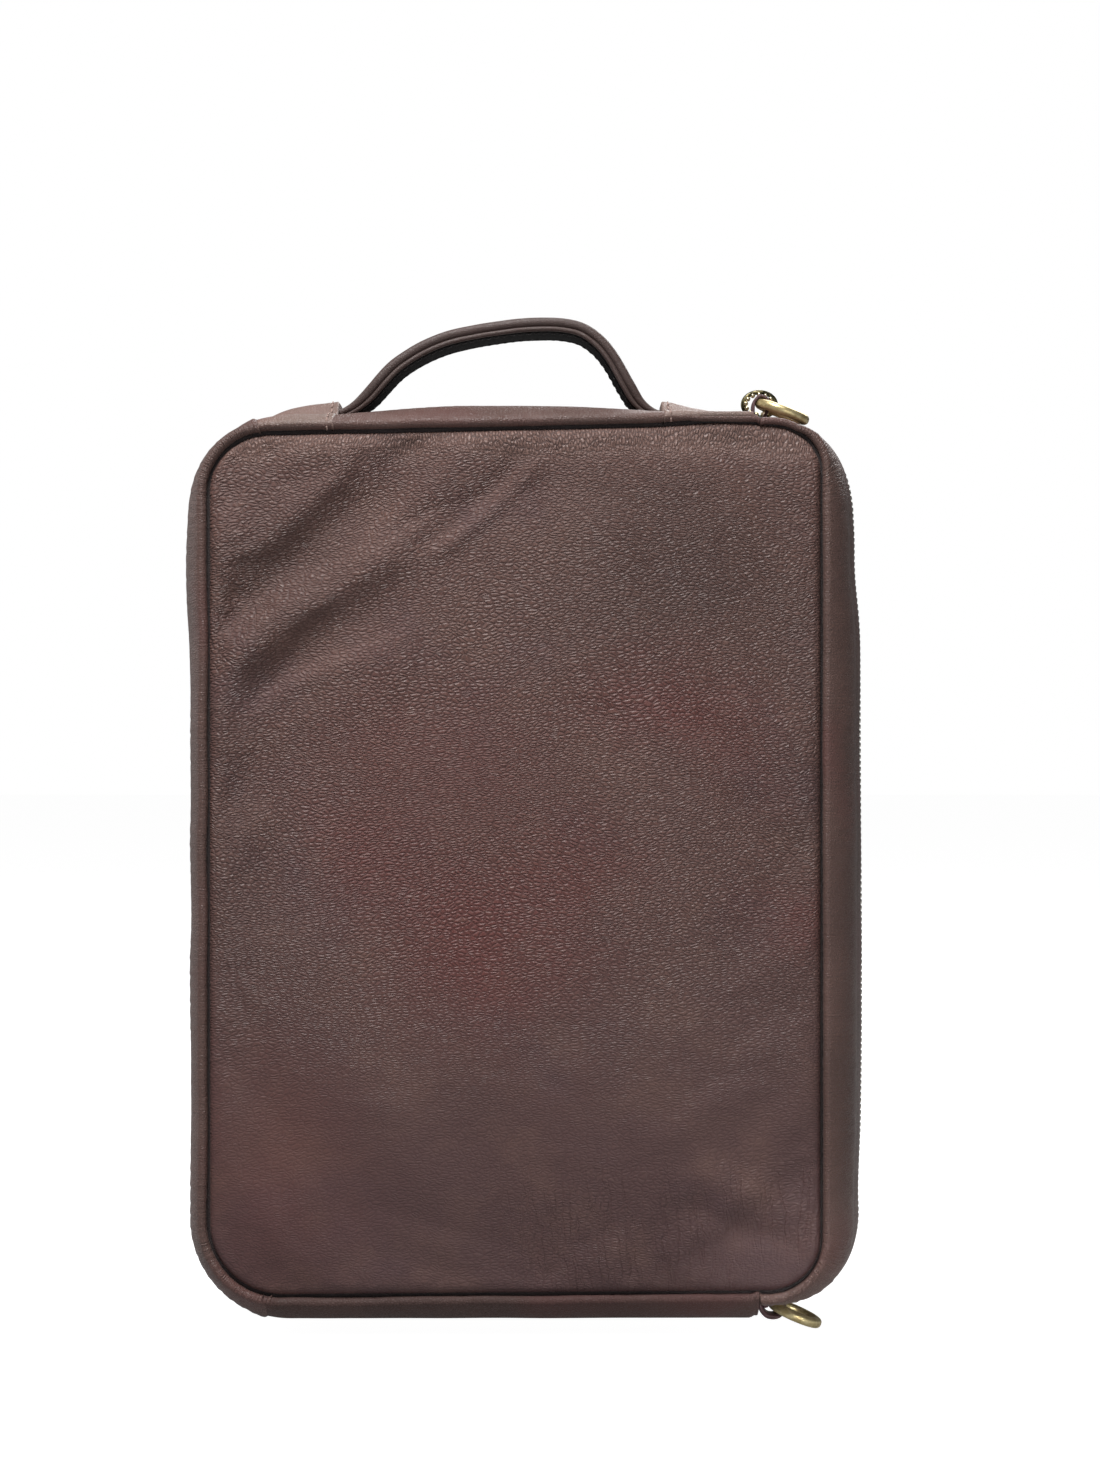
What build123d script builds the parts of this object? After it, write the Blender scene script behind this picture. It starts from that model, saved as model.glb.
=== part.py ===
from build123d import *
import math
import os

# Upright leather flight bag for A4 papers. Millimetres, +Z up, -Y is the front face,
# +X is the zip side. The origin is the centre of the flat underside of the base strip.

# ---- driving dimensions -------------------------------------------------------------
BODY_WIDTH = 260.0
BODY_HEIGHT = 352.0
BODY_DEPTH = 66.0
CORNER_R = 40.0
SHOULDER_R = 20.0          # rounding of the gusset between its flat middle and the seams
SEAM_INSET = 12.0          # how far the wall seams sit inside the silhouette
ZIP_SEAM_INSET = 17.5      # the same on the zip side, whose strips are wider
LEATHER_T = 2.2            # gusset leather with its turned edge
PANEL_T = 1.8
FOAM_T = 3.0
BOARD_T = 1.2
LINING_T = 0.6
GAP = 0.15                 # clearance left between neighbouring soft parts
SEAM_GAP = 0.4             # room for the turned seam between a wall and its strips
PADDING_MARGIN = 4.0       # foam, board and lining stop this far inside the wall leather
BASE_BOARD_HALF_LENGTH = 84.0
BASE_BOARD_T = 2.0

# zip opening along the +X side
ZIP_START_X = 90.0
ZIP_DROP_TOP = 4.0         # the zip strips sit lower than the top strip ...
ZIP_RISE_BOTTOM = 5.4      # ... and higher than the base strip
ZIP_CORNER_R = 33.0
ZIP_Y = 7.0                # centre line of the zip, behind the middle of the bag
ZIP_SLOT_HALF = 6.2
TOOTH_PITCH = 3.0
TOOTH_SIZE = (2.5, 1.9, 2.6)   # across the zip, along it, through it
TOOTH_OUT = 0.9            # the teeth stand this far out of the leather
TOOTH_GAP_HALF = 0.4       # half the gap between the two rows
TAPE_T = 0.8
TAPE_STEP = (5.4, 6.0)     # where the tape dips under the leather, from the zip's centre line
TAPE_EDGE = 12.0
ZIP_END_CLEARANCE = 3.2    # length without teeth at each end of the zip
STOP_LENGTH = 1.2

# slider and its ring pull
SLIDER_LENGTH = 8.4
SLIDER_HALF_W = 4.5
SLIDER_RAIL_T = 0.8
SLIDER_CLEARANCE = 0.45    # inside the plates, enough for the teeth on the corner's curve too
POST_LENGTH = 2.4
PLATE_T = 0.7
BAIL_X = (-2.6, -1.4)      # from the slider's middle, along the zip
BAIL_Z = (4.5, 5.5)        # its bar, above the zip strips
BAIL_POST = (1.5, 2.5)
PULL_R = 5.2
PULL_WIRE_R = 1.1
PULL_LIFT = 3.0            # height of the pull's lowest wire above the zip strips
PULL_X = -1.2              # from the slider's middle

# strap rings held by leather tabs in the seams at the ends of the zip
RING_R = 9.0
RING_WIRE_R = 1.8
RING_Y = -10.5
RING_TILT = 20.0
TAB_WIDTH = 7.0
TAB_BORE_R = 2.7
TAB_T = 1.2
TAB_STEM_DEPTH = 8.0       # how far a tab's sewn end reaches into the bag
TOP_RING_PIVOT = (92.2, 356.1)
BOTTOM_RING_PIVOT = (97.3, 3.4)

# carrying handle: an arch that leans to the right, between two anchor bands
ANCHOR_LEFT = (-104.0, -73.1)
ANCHOR_RIGHT = (53.4, 87.8)
ANCHOR_T = 1.6
HANDLE_ROOT_Z = BODY_HEIGHT + 2.6
HANDLE_CREST = (5.0, 386.0)
HANDLE_WIDTH = 24.0
HANDLE_CORE_WIDTH = 18.0
HANDLE_NECK_WIDTH = 4.4
HANDLE_LEATHER = (-1.4, 3.2)   # layers of the handle, measured outwards from its centre line
HANDLE_CORE = (-1.3, 0.8)
HANDLE_LINING = (-3.0, -1.6)
HANDLE_LEATHER_FROM_Z = 365.8  # high enough to clear the top strip when the handle is tilted

# ends of the spine strip, where it laps round the two left corners
SPINE_TOP_X = -104.6
SPINE_BOTTOM_X = -100.0

# ---- values worked out from them ----------------------------------------------------
HALF_W = BODY_WIDTH / 2
HALF_D = BODY_DEPTH / 2
FLAT_HALF = HALF_D - math.sqrt(SHOULDER_R**2 - (SHOULDER_R - SEAM_INSET) ** 2)
ZIP_FLAT_HALF = HALF_D - math.sqrt(SHOULDER_R**2 - (SHOULDER_R - ZIP_SEAM_INSET) ** 2)
ZIP_TOP_Z = BODY_HEIGHT - ZIP_DROP_TOP
ZIP_CORNER_X = HALF_W - ZIP_CORNER_R
FAR = 600.0                # larger than the bag, for cutting boxes


def block(x, y, z):
    """A box from (low, high) pairs along each axis."""
    size = [hi - lo for lo, hi in (x, y, z)]
    middle = [(lo + hi) / 2 for lo, hi in (x, y, z)]
    return Pos(*middle) * Box(*size)


def pillow(grow, low_z, high_z, corner_r, flat_half):
    """The bag's rounded body, grown outwards by a distance, with a flat middle on all its sides."""
    half_y = flat_half + SHOULDER_R + grow
    width = BODY_WIDTH + 2 * grow
    height = high_z - low_z + 2 * grow
    outline = Plane.XZ * Pos(0, (low_z + high_z) / 2) * RectangleRounded(width, height, corner_r + grow)
    body = extrude(outline, amount=half_y, both=True)
    rims = body.edges().filter_by(lambda e: abs(abs(e.center().Y) - half_y) < 0.01)
    return fillet(rims, SHOULDER_R + grow)


def body_shell(outer, inner):
    """Shell of the main outline between two offsets, both measured outwards."""
    edges = (0, BODY_HEIGHT, CORNER_R, FLAT_HALF)
    solid = pillow(outer, *edges) - pillow(inner, *edges)
    return solid & block((-FAR, FAR), (-HALF_D, HALF_D), (-FAR, FAR))


def zip_shell(outer, inner, across):
    """Shell of the zip-side outline between two offsets, for one range of positions across the zip."""
    edges = (ZIP_RISE_BOTTOM, ZIP_TOP_Z, ZIP_CORNER_R, ZIP_FLAT_HALF)
    solid = pillow(outer, *edges) - pillow(inner, *edges)
    return solid & block((ZIP_START_X + GAP, FAR), across, (-FAR, FAR))


def panel_slab(inset, front, thickness):
    """A flat rounded slab parallel to the front face; front is its depth behind that face."""
    zip_extra = ZIP_SEAM_INSET - SEAM_INSET
    size = (BODY_WIDTH - 2 * inset - zip_extra, BODY_HEIGHT - 2 * inset)
    outline = RectangleRounded(*size, CORNER_R - inset)
    middle = (-zip_extra / 2, -HALF_D + front, BODY_HEIGHT / 2)
    face = Plane(origin=middle, x_dir=(1, 0, 0), z_dir=(0, -1, 0)) * outline
    return extrude(face, amount=-thickness)


def panel_stack():
    """Leather, foam, board and lining of the front wall, from outside to inside."""
    leather_inset = SEAM_INSET + LEATHER_T + SEAM_GAP
    inner_inset = leather_inset + PADDING_MARGIN
    foam_at = PANEL_T + GAP
    board_at = foam_at + FOAM_T + GAP
    lining_at = board_at + BOARD_T + GAP
    return {
        "panel": panel_slab(leather_inset, 0, PANEL_T),
        "foam": panel_slab(inner_inset, foam_at, FOAM_T),
        "board": panel_slab(inner_inset, board_at, BOARD_T),
        "lining": panel_slab(inner_inset, lining_at, LINING_T),
        "clearance": panel_slab(leather_inset - GAP, -PANEL_T, 3 * PANEL_T),
    }


def gussets(walls, notches):
    """The three solid strips and the two strips beside the zip, cut clear of both wall panels."""
    shell = body_shell(0, -LEATHER_T)
    for wall in walls:
        shell = shell - wall
    middle_z = BODY_HEIGHT / 2
    full_y = (-FAR, FAR)
    spine_top = block((-FAR, SPINE_TOP_X), full_y, (middle_z, FAR))
    spine_bottom = block((-FAR, SPINE_BOTTOM_X), full_y, (-FAR, middle_z))
    top = block((SPINE_TOP_X + GAP, ZIP_START_X - GAP), full_y, (middle_z, FAR))
    base = block((SPINE_BOTTOM_X + GAP, ZIP_START_X - GAP), full_y, (-FAR, middle_z))
    zip_front = zip_shell(0, -LEATHER_T, (-HALF_D, ZIP_Y - ZIP_SLOT_HALF))
    zip_back = zip_shell(0, -LEATHER_T, (ZIP_Y + ZIP_SLOT_HALF, HALF_D))
    for cutter in walls + notches:
        zip_front = zip_front - cutter
        zip_back = zip_back - cutter
    return {
        "spine_gusset": shell & (spine_top + spine_bottom),
        "top_gusset": shell & top,
        "base_gusset": shell & base,
        "zip_gusset_front": zip_front,
        "zip_gusset_back": zip_back,
    }


def gusset_lining():
    """Cloth inside the spine, top and base strips, between the two wall linings."""
    outer = -LEATHER_T - GAP
    wall = PANEL_T + FOAM_T + BOARD_T + LINING_T + 3 * GAP
    half_y = HALF_D - wall - 3 * GAP
    keep = block((-FAR, ZIP_START_X - LEATHER_T), (-half_y, half_y), (-FAR, FAR))
    return body_shell(outer, outer - LINING_T) & keep


def base_board():
    """Stiffener lying inside the base strip."""
    low = LEATHER_T + LINING_T + 3 * GAP
    along = (-BASE_BOARD_HALF_LENGTH, BASE_BOARD_HALF_LENGTH)
    return block(along, (-FLAT_HALF, FLAT_HALF), (low, low + BASE_BOARD_T))


def zip_tape(side):
    """One woven tape: a raised part beside the teeth and a part sewn under the leather."""
    def strip(near, far, outer, inner):
        ends = sorted((ZIP_Y + side * near, ZIP_Y + side * far))
        return zip_shell(outer, inner, ends)

    tooth_edge = TOOTH_GAP_HALF + TOOTH_SIZE[0] + GAP / 3
    under = -LEATHER_T - GAP
    raised = strip(tooth_edge, TAPE_STEP[1], 0, -TAPE_T)
    step = strip(*TAPE_STEP, 0, under - TAPE_T)
    sewn = strip(TAPE_STEP[0], TAPE_EDGE, under, under - TAPE_T)
    return raised + step + sewn


def zip_length():
    """Length of the zip line, from its top end to its lower end."""
    straight = ZIP_CORNER_X - ZIP_START_X
    side = ZIP_TOP_Z - ZIP_RISE_BOTTOM - 2 * ZIP_CORNER_R
    return 2 * straight + math.pi * ZIP_CORNER_R + side


def zip_station(distance):
    """Position, along the zip line from its top end, of a frame with its own Z pointing outwards."""
    straight = ZIP_CORNER_X - ZIP_START_X
    arc = math.pi / 2 * ZIP_CORNER_R
    side = ZIP_TOP_Z - ZIP_RISE_BOTTOM - 2 * ZIP_CORNER_R
    top_centre_z = ZIP_TOP_Z - ZIP_CORNER_R
    low_centre_z = ZIP_RISE_BOTTOM + ZIP_CORNER_R
    if distance < straight:
        return Location((ZIP_START_X + distance, ZIP_Y, ZIP_TOP_Z))
    if distance < straight + arc:
        turn = (distance - straight) / ZIP_CORNER_R
        centre = (ZIP_CORNER_X, top_centre_z)
    elif distance < straight + arc + side:
        run = distance - straight - arc
        return Location((HALF_W, ZIP_Y, top_centre_z - run), (0, 90, 0))
    elif distance < straight + 2 * arc + side:
        turn = math.pi / 2 + (distance - straight - arc - side) / ZIP_CORNER_R
        centre = (ZIP_CORNER_X, low_centre_z)
    else:
        run = distance - straight - 2 * arc - side
        return Location((ZIP_CORNER_X - run, ZIP_Y, ZIP_RISE_BOTTOM), (0, 180, 0))
    x = centre[0] + ZIP_CORNER_R * math.sin(turn)
    z = centre[1] + ZIP_CORNER_R * math.cos(turn)
    return Location((x, ZIP_Y, z), (0, math.degrees(turn), 0))


def zip_teeth(side):
    """One row of separate metal teeth, staggered by half a pitch against the other row."""
    across, along, through = TOOTH_SIZE
    y = side * (TOOTH_GAP_HALF + across / 2)
    tooth = Pos(0, y, TOOTH_OUT - through / 2) * Box(along, across, through)
    count = int((zip_length() - 2 * ZIP_END_CLEARANCE) / TOOTH_PITCH)
    first = ZIP_END_CLEARANCE + TOOTH_PITCH / 4 * (1 + side)
    return [zip_station(first + TOOTH_PITCH * i) * tooth for i in range(count)]


def zip_stops():
    """Two small top stops, one on each tape, and one box that closes the lower end."""
    across, _, through = TOOTH_SIZE
    middle = TOOTH_OUT - through / 2
    y = TOOTH_GAP_HALF + across / 2
    top = zip_station(STOP_LENGTH)
    solids = [top * Pos(0, side * y, middle) * Box(STOP_LENGTH, across, through) for side in (-1, 1)]
    retainer_width = 2 * (TOOTH_GAP_HALF + across)
    end = zip_station(zip_length() - STOP_LENGTH)
    solids.append(end * Pos(0, 0, middle) * Box(STOP_LENGTH, retainer_width, through))
    return solids


def zip_slider():
    """Outer and inner plates with turned edges, the post between the rows and the bail on top."""
    half_l = SLIDER_LENGTH / 2
    inner_top = TOOTH_OUT - TOOTH_SIZE[2] - SLIDER_CLEARANCE
    outer_low = TOOTH_OUT + GAP
    outer_high = outer_low + PLATE_T
    rail_tip = 0.3
    edge = (SLIDER_HALF_W - SLIDER_RAIL_T, SLIDER_HALF_W)
    x = (-half_l, half_l)
    width = (-SLIDER_HALF_W, SLIDER_HALF_W)
    body = block(x, width, (outer_low, outer_high))
    body += block(x, width, (inner_top - PLATE_T, inner_top))
    for side in (-1, 1):
        rail = sorted((side * edge[0], side * edge[1]))
        body += block(x, rail, (rail_tip, outer_low))
        body += block(x, rail, (inner_top, -TAPE_T - rail_tip))
        post = sorted((side * BAIL_POST[0], side * BAIL_POST[1]))
        body += block(BAIL_X, post, (outer_high, BAIL_Z[1]))
    body += block(BAIL_X, (-BAIL_POST[1], BAIL_POST[1]), BAIL_Z)
    post_half = TOOTH_GAP_HALF - 0.1
    body += block((half_l - POST_LENGTH, half_l), (-post_half, post_half), (inner_top, outer_low))
    return Location((ZIP_CORNER_X, ZIP_Y, ZIP_TOP_Z)) * body


def zip_pull():
    """Ring pull threaded through the slider's bail, standing up."""
    centre_z = ZIP_TOP_Z + PULL_LIFT + PULL_R
    ring = Torus(PULL_R, PULL_WIRE_R)
    return Pos(ZIP_CORNER_X + PULL_X, ZIP_Y, centre_z) * Rot(90, 0, 0) * ring


def strap_ring(pivot):
    """Thick round ring, its near end at the pivot and its far end tilted down."""
    ring = Pos(RING_R, 0, 0) * Torus(RING_R, RING_WIRE_R)
    return Location((pivot[0], RING_Y, pivot[1])) * Rot(0, RING_TILT, 0) * ring


def ring_tab(pivot, stem):
    """Leather tab round the ring, with a stem that is sewn into the seam."""
    across = (RING_Y - TAB_WIDTH / 2, RING_Y + TAB_WIDTH / 2)
    place = Pos(pivot[0], RING_Y, pivot[1]) * Rot(90, 0, 0)
    loop = place * Cylinder(TAB_BORE_R + TAB_T, TAB_WIDTH)
    bore = place * Cylinder(TAB_BORE_R, TAB_WIDTH + 2)
    tab = loop
    for x, z in stem:
        tab += block(x, across, z)
    return tab - bore


def tab_stem_x():
    """The two leather layers of a tab, side by side in the seam at the end of the zip."""
    low = ZIP_START_X + 2 * GAP
    return (low, low + 2 * TAB_T)


def top_ring_tab():
    stem = (tab_stem_x(), (ZIP_TOP_Z - TAB_STEM_DEPTH, TOP_RING_PIVOT[1] - TAB_BORE_R))
    return ring_tab(TOP_RING_PIVOT, [stem])


def bottom_ring_tab():
    stem_x = tab_stem_x()
    low = ZIP_RISE_BOTTOM - TAB_T / 2
    bridge = ((stem_x[0], BOTTOM_RING_PIVOT[0]), (low, low + 2 * TAB_T))
    stem = (stem_x, (low, ZIP_RISE_BOTTOM + TAB_STEM_DEPTH))
    return ring_tab(BOTTOM_RING_PIVOT, [bridge, stem])


def tab_notches():
    """Room left in the front zip strip for the two leather tabs."""
    across = (RING_Y - TAB_WIDTH / 2 - GAP, RING_Y + TAB_WIDTH / 2 + GAP)
    loop_r = TAB_BORE_R + TAB_T + 2 * GAP
    top_x = (ZIP_START_X - 1, tab_stem_x()[1] + 2 * GAP)
    bottom_x = (ZIP_START_X - 1, BOTTOM_RING_PIVOT[0] + loop_r)
    top = block(top_x, across, (ZIP_TOP_Z - 2 * TAB_STEM_DEPTH, FAR))
    bottom = block(bottom_x, across, (-FAR, ZIP_RISE_BOTTOM + 2 * TAB_STEM_DEPTH))
    return [top, bottom]


def handle_line():
    """Centre line of the handle: it rises gently from the left anchor and falls steeply to the right one."""
    left = ANCHOR_LEFT[1] + 4 * GAP
    right = ANCHOR_RIGHT[0] - 4 * GAP
    crest_x, crest_z = HANDLE_CREST
    rise = crest_z - HANDLE_ROOT_Z
    left_run = crest_x - left
    right_run = right - crest_x
    points = [
        (left, HANDLE_ROOT_Z),
        (left + 0.26 * left_run, HANDLE_ROOT_Z + 0.47 * rise),
        (left + 0.48 * left_run, HANDLE_ROOT_Z + 0.78 * rise),
        (crest_x, crest_z),
        (right - 0.48 * right_run, HANDLE_ROOT_Z + 0.79 * rise),
        (right - 0.19 * right_run, HANDLE_ROOT_Z + 0.19 * rise),
        (right, HANDLE_ROOT_Z),
    ]
    return Spline(*points, tangents=[(1, 0.35), (1, -0.35)])


def handle_band(line, low, high, width, from_z):
    """A band that follows the centre line between two offsets, above a given height."""
    steps = 48

    def offset_points(offset):
        points = []
        for i in range(steps + 1):
            at = line @ (i / steps)
            along = line % (i / steps)
            points.append((at.X - along.Y * offset, at.Y + along.X * offset))
        return points

    upper = offset_points(high)
    lower = offset_points(low)
    wire = Spline(*upper) + Line(upper[-1], lower[-1]) + Spline(*lower) + Line(lower[0], upper[0])
    band = extrude(Plane.XZ * make_face(wire), amount=width / 2, both=True)
    return band & block((-FAR, FAR), (-FAR, FAR), (from_z, FAR))


def handle_parts():
    """Leather top with turned sides, the stiff core that carries the load, and the underside."""
    line = handle_line()
    start = HANDLE_LEATHER_FROM_Z
    leather = handle_band(line, *HANDLE_LEATHER, HANDLE_WIDTH, start)
    leather -= handle_band(line, HANDLE_LEATHER[0] - 1, HANDLE_CORE[1] + GAP, HANDLE_CORE_WIDTH + 2 * GAP, 0)
    core = handle_band(line, *HANDLE_CORE, HANDLE_CORE_WIDTH, start)
    core += handle_band(line, *HANDLE_CORE, HANDLE_NECK_WIDTH, 0)
    lining = handle_band(line, *HANDLE_LINING, HANDLE_WIDTH - 1, start)
    return {"handle_leather": leather, "handle_core": core, "handle_lining": lining}


def handle_anchor(span):
    """A leather band over the top strip that holds one end of the handle."""
    band = body_shell(GAP + ANCHOR_T, GAP)
    half_y = HALF_D - LEATHER_T / 2
    return band & block(span, (-half_y, half_y), (BODY_HEIGHT / 2, FAR))


def save(name, shape):
    """Write one sub-part; a list of solids becomes one compound."""
    if isinstance(shape, list):
        shape = Compound(children=[solid for item in shape for solid in item.solids()])
    else:
        solids = shape.solids()
        shape = solids[0] if len(solids) == 1 else Compound(children=list(solids))
    export_step(shape, f"parts/{name}.step")


def main():
    os.makedirs("parts", exist_ok=True)
    nodes = {}
    front = panel_stack()
    back = {name: mirror(solid, about=Plane.XZ) for name, solid in front.items()}
    walls = [front.pop("clearance"), back.pop("clearance")]
    for side, stack in (("front", front), ("back", back)):
        for layer, solid in stack.items():
            nodes[f"{side}_{layer}"] = solid
    nodes.update(gussets(walls, tab_notches()))
    nodes["gusset_lining"] = gusset_lining()
    nodes["base_board"] = base_board()
    for name, side in (("front", -1), ("back", 1)):
        nodes[f"zip_tape_{name}"] = zip_tape(side)
        nodes[f"zip_teeth_{name}"] = zip_teeth(side)
    nodes["zip_stops"] = zip_stops()
    nodes["zip_slider"] = zip_slider()
    nodes["zip_pull"] = zip_pull()
    nodes["top_strap_ring"] = strap_ring(TOP_RING_PIVOT)
    nodes["bottom_strap_ring"] = strap_ring(BOTTOM_RING_PIVOT)
    nodes["top_ring_tab"] = top_ring_tab()
    nodes["bottom_ring_tab"] = bottom_ring_tab()
    nodes["handle_anchor_left"] = handle_anchor(ANCHOR_LEFT)
    nodes["handle_anchor_right"] = handle_anchor(ANCHOR_RIGHT)
    nodes.update(handle_parts())
    for name, shape in nodes.items():
        save(name, shape)


main()
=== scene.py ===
import math

import bmesh
import bpy
import numpy as np
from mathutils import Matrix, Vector, noise


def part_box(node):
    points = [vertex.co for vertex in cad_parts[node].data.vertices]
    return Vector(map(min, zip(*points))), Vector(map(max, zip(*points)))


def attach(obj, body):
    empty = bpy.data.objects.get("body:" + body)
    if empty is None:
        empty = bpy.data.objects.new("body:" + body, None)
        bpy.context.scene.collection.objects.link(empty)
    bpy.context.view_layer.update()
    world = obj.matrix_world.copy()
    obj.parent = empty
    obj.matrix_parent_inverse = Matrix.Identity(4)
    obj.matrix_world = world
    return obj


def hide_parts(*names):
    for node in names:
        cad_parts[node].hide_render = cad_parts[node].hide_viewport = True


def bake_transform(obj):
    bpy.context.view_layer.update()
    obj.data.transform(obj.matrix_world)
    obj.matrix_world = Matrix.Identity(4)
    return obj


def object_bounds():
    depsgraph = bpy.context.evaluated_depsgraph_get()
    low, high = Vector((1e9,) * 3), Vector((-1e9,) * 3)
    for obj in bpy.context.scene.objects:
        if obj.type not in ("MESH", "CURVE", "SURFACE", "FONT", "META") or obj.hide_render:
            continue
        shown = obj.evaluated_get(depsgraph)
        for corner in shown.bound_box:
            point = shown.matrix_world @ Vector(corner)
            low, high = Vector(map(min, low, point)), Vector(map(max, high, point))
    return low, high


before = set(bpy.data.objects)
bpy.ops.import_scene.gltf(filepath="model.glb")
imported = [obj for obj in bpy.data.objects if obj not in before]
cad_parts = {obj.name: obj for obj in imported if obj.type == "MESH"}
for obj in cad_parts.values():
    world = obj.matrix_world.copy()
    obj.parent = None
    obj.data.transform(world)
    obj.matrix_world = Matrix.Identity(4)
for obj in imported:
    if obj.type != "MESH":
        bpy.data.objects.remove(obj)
CAD_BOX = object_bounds()

MM = 0.001

# ---------------------------------------------------------------- sizes taken from the frame


def cad_box(node):
    """Lowest and highest corner of a CAD node, in millimetres."""
    low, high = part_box(node)
    return np.array(low) / MM, np.array(high) / MM


LEFT = cad_box("spine_gusset")[0][0]
RIGHT = cad_box("zip_gusset_front")[1][0]
TOP = cad_box("top_gusset")[1][2]
BASE = cad_box("base_gusset")[0][2]
HALF_D = cad_box("spine_gusset")[1][1]
ZIP_TOP = cad_box("zip_gusset_front")[1][2]
ZIP_LOW = cad_box("zip_gusset_front")[0][2]
STRIP_END_X = cad_box("top_gusset")[1][0]
ZIP_START_X = cad_box("zip_gusset_front")[0][0]
SPINE_TOP_X = cad_box("top_gusset")[0][0]
SPINE_LOW_X = cad_box("base_gusset")[0][0]
ZIP_Y = (cad_box("zip_teeth_front")[1][1] + cad_box("zip_teeth_back")[0][1]) / 2
SLOT_FRONT_Y = cad_box("zip_gusset_front")[1][1]
SLOT_BACK_Y = cad_box("zip_gusset_back")[0][1]

CORNER_R = 40.0             # corners of the body seen from the front
ZIP_CORNER_R = 33.0         # the same at the zip
SHOULDER_R = 20.0           # the strips curve round to the seam with this radius
LIP_R = 2.0                 # the rolled lip of a strip at the seam
THIN_LIP_R = 1.35           # the same where a strip is squeezed beside the wall
STRIP_T = 2.0               # thickness of the leather and its backing
SEAM_WIDTH = 0.9
STRIP_DOME = 0.6            # a strip's middle stands this far above its shoulders
STITCH_PITCH = 3.2

# the wall's edge, inside the recessed seam
WALL_LEFT = LEFT + 9.3
WALL_RIGHT = RIGHT - 16.6
WALL_TOP = TOP - 8.4
WALL_LOW = BASE + 12.4
WALL_RADII = (22.0, 17.0, 20.0, 28.0)
WALL_LEAN = 0.008          # the wall's edges rise a little towards the zip


# ---------------------------------------------------------------- numbers and curves


def smooth(t):
    """Rises from 0 to 1 as t does, level at both ends."""
    t = np.clip(t, 0.0, 1.0)
    return t * t * (3.0 - 2.0 * t)


def bell(x, centre, width):
    return np.exp(-((x - centre) / width) ** 2)


def fbm(points, size, octaves, seed):
    """Smooth noise between about -1 and 1 at each point; size is its grain in millimetres."""
    out = np.zeros(len(points))
    for i, p in enumerate(points):
        amount = 1.0
        scale = 1.0 / size
        for _ in range(octaves):
            out[i] += amount * noise.noise(Vector((p[0] * scale + seed, p[1] * scale, p[2] * scale - seed)))
            amount *= 0.5
            scale *= 2.03
    return out


class Loop:
    """A rounded rectangle in the X-Z plane, walked clockwise from the left end of its top edge."""

    def __init__(self, left, right, low, high, radii):
        self.left, self.right, self.low, self.high = left, right, low, high
        top_left, top_right, low_right, low_left = radii
        quarter = math.pi / 2
        self.parts = [
            ("line", (left + top_left, high), (1, 0), right - top_right - left - top_left),
            ("arc", (right - top_right, high - top_right), top_right, quarter, quarter * top_right),
            ("line", (right, high - top_right), (0, -1), high - top_right - low - low_right),
            ("arc", (right - low_right, low + low_right), low_right, 0.0, quarter * low_right),
            ("line", (right - low_right, low), (-1, 0), right - low_right - left - low_left),
            ("arc", (left + low_left, low + low_left), low_left, -quarter, quarter * low_left),
            ("line", (left, low + low_left), (0, 1), high - top_left - low - low_left),
            ("arc", (left + top_left, high - top_left), top_left, -2 * quarter, quarter * top_left),
        ]
        self.length = sum(part[-1] for part in self.parts)

    def start_of(self, index):
        return sum(part[-1] for part in self.parts[:index])

    def at(self, s):
        """Point, outward normal at a distance along the loop."""
        s = s % self.length
        for part in self.parts:
            if s <= part[-1] + 1e-9:
                break
            s -= part[-1]
        if part[0] == "line":
            (x, z), (dx, dz) = part[1], part[2]
            return (x + dx * s, z + dz * s), (-dz, dx)
        (cx, cz), radius, first = part[1], part[2], part[3]
        angle = first - s / radius
        normal = (math.cos(angle), math.sin(angle))
        return (cx + radius * normal[0], cz + radius * normal[1]), normal

    def sample(self, first, last, count):
        pairs = [self.at(s) for s in np.linspace(first, last, count)]
        points = np.array([p for p, _ in pairs])
        normals = np.array([n for _, n in pairs])
        return points, normals


BODY = Loop(LEFT, RIGHT, BASE, TOP, (CORNER_R,) * 4)
ZIP = Loop(LEFT, RIGHT, ZIP_LOW, ZIP_TOP, (ZIP_CORNER_R,) * 4)
WALL = Loop(WALL_LEFT, WALL_RIGHT, WALL_LOW, WALL_TOP, WALL_RADII)

TOP_LAP = BODY.length - CORNER_R * math.asin((LEFT + CORNER_R - SPINE_TOP_X) / CORNER_R)
LOW_LAP = BODY.start_of(5) + CORNER_R * math.asin((LEFT + CORNER_R - SPINE_LOW_X) / CORNER_R)
TOP_END = STRIP_END_X - (LEFT + CORNER_R)
LOW_END = BODY.start_of(4) + (RIGHT - CORNER_R - STRIP_END_X)
ZIP_FIRST = ZIP_START_X - (LEFT + ZIP_CORNER_R)
ZIP_LAST = ZIP.start_of(4) + (RIGHT - ZIP_CORNER_R - ZIP_START_X)


def edge_rise(x, z):
    """How far the wall's edge is moved up: it slopes to the right, most of all at the top."""
    top = smooth((z - (WALL_TOP - 70.0)) / 70.0)
    right = smooth((106.0 - x) / 20.0)
    return WALL_LEAN * x + top * right * (0.4 + 0.013 * x + 1.1 * bell(x, 73.0, 15.0))


def lean(points):
    """Outline points of the wall with its edge's rise added."""
    out = points.copy()
    out[:, 1] += edge_rise(points[:, 0], points[:, 1])
    return out


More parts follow.
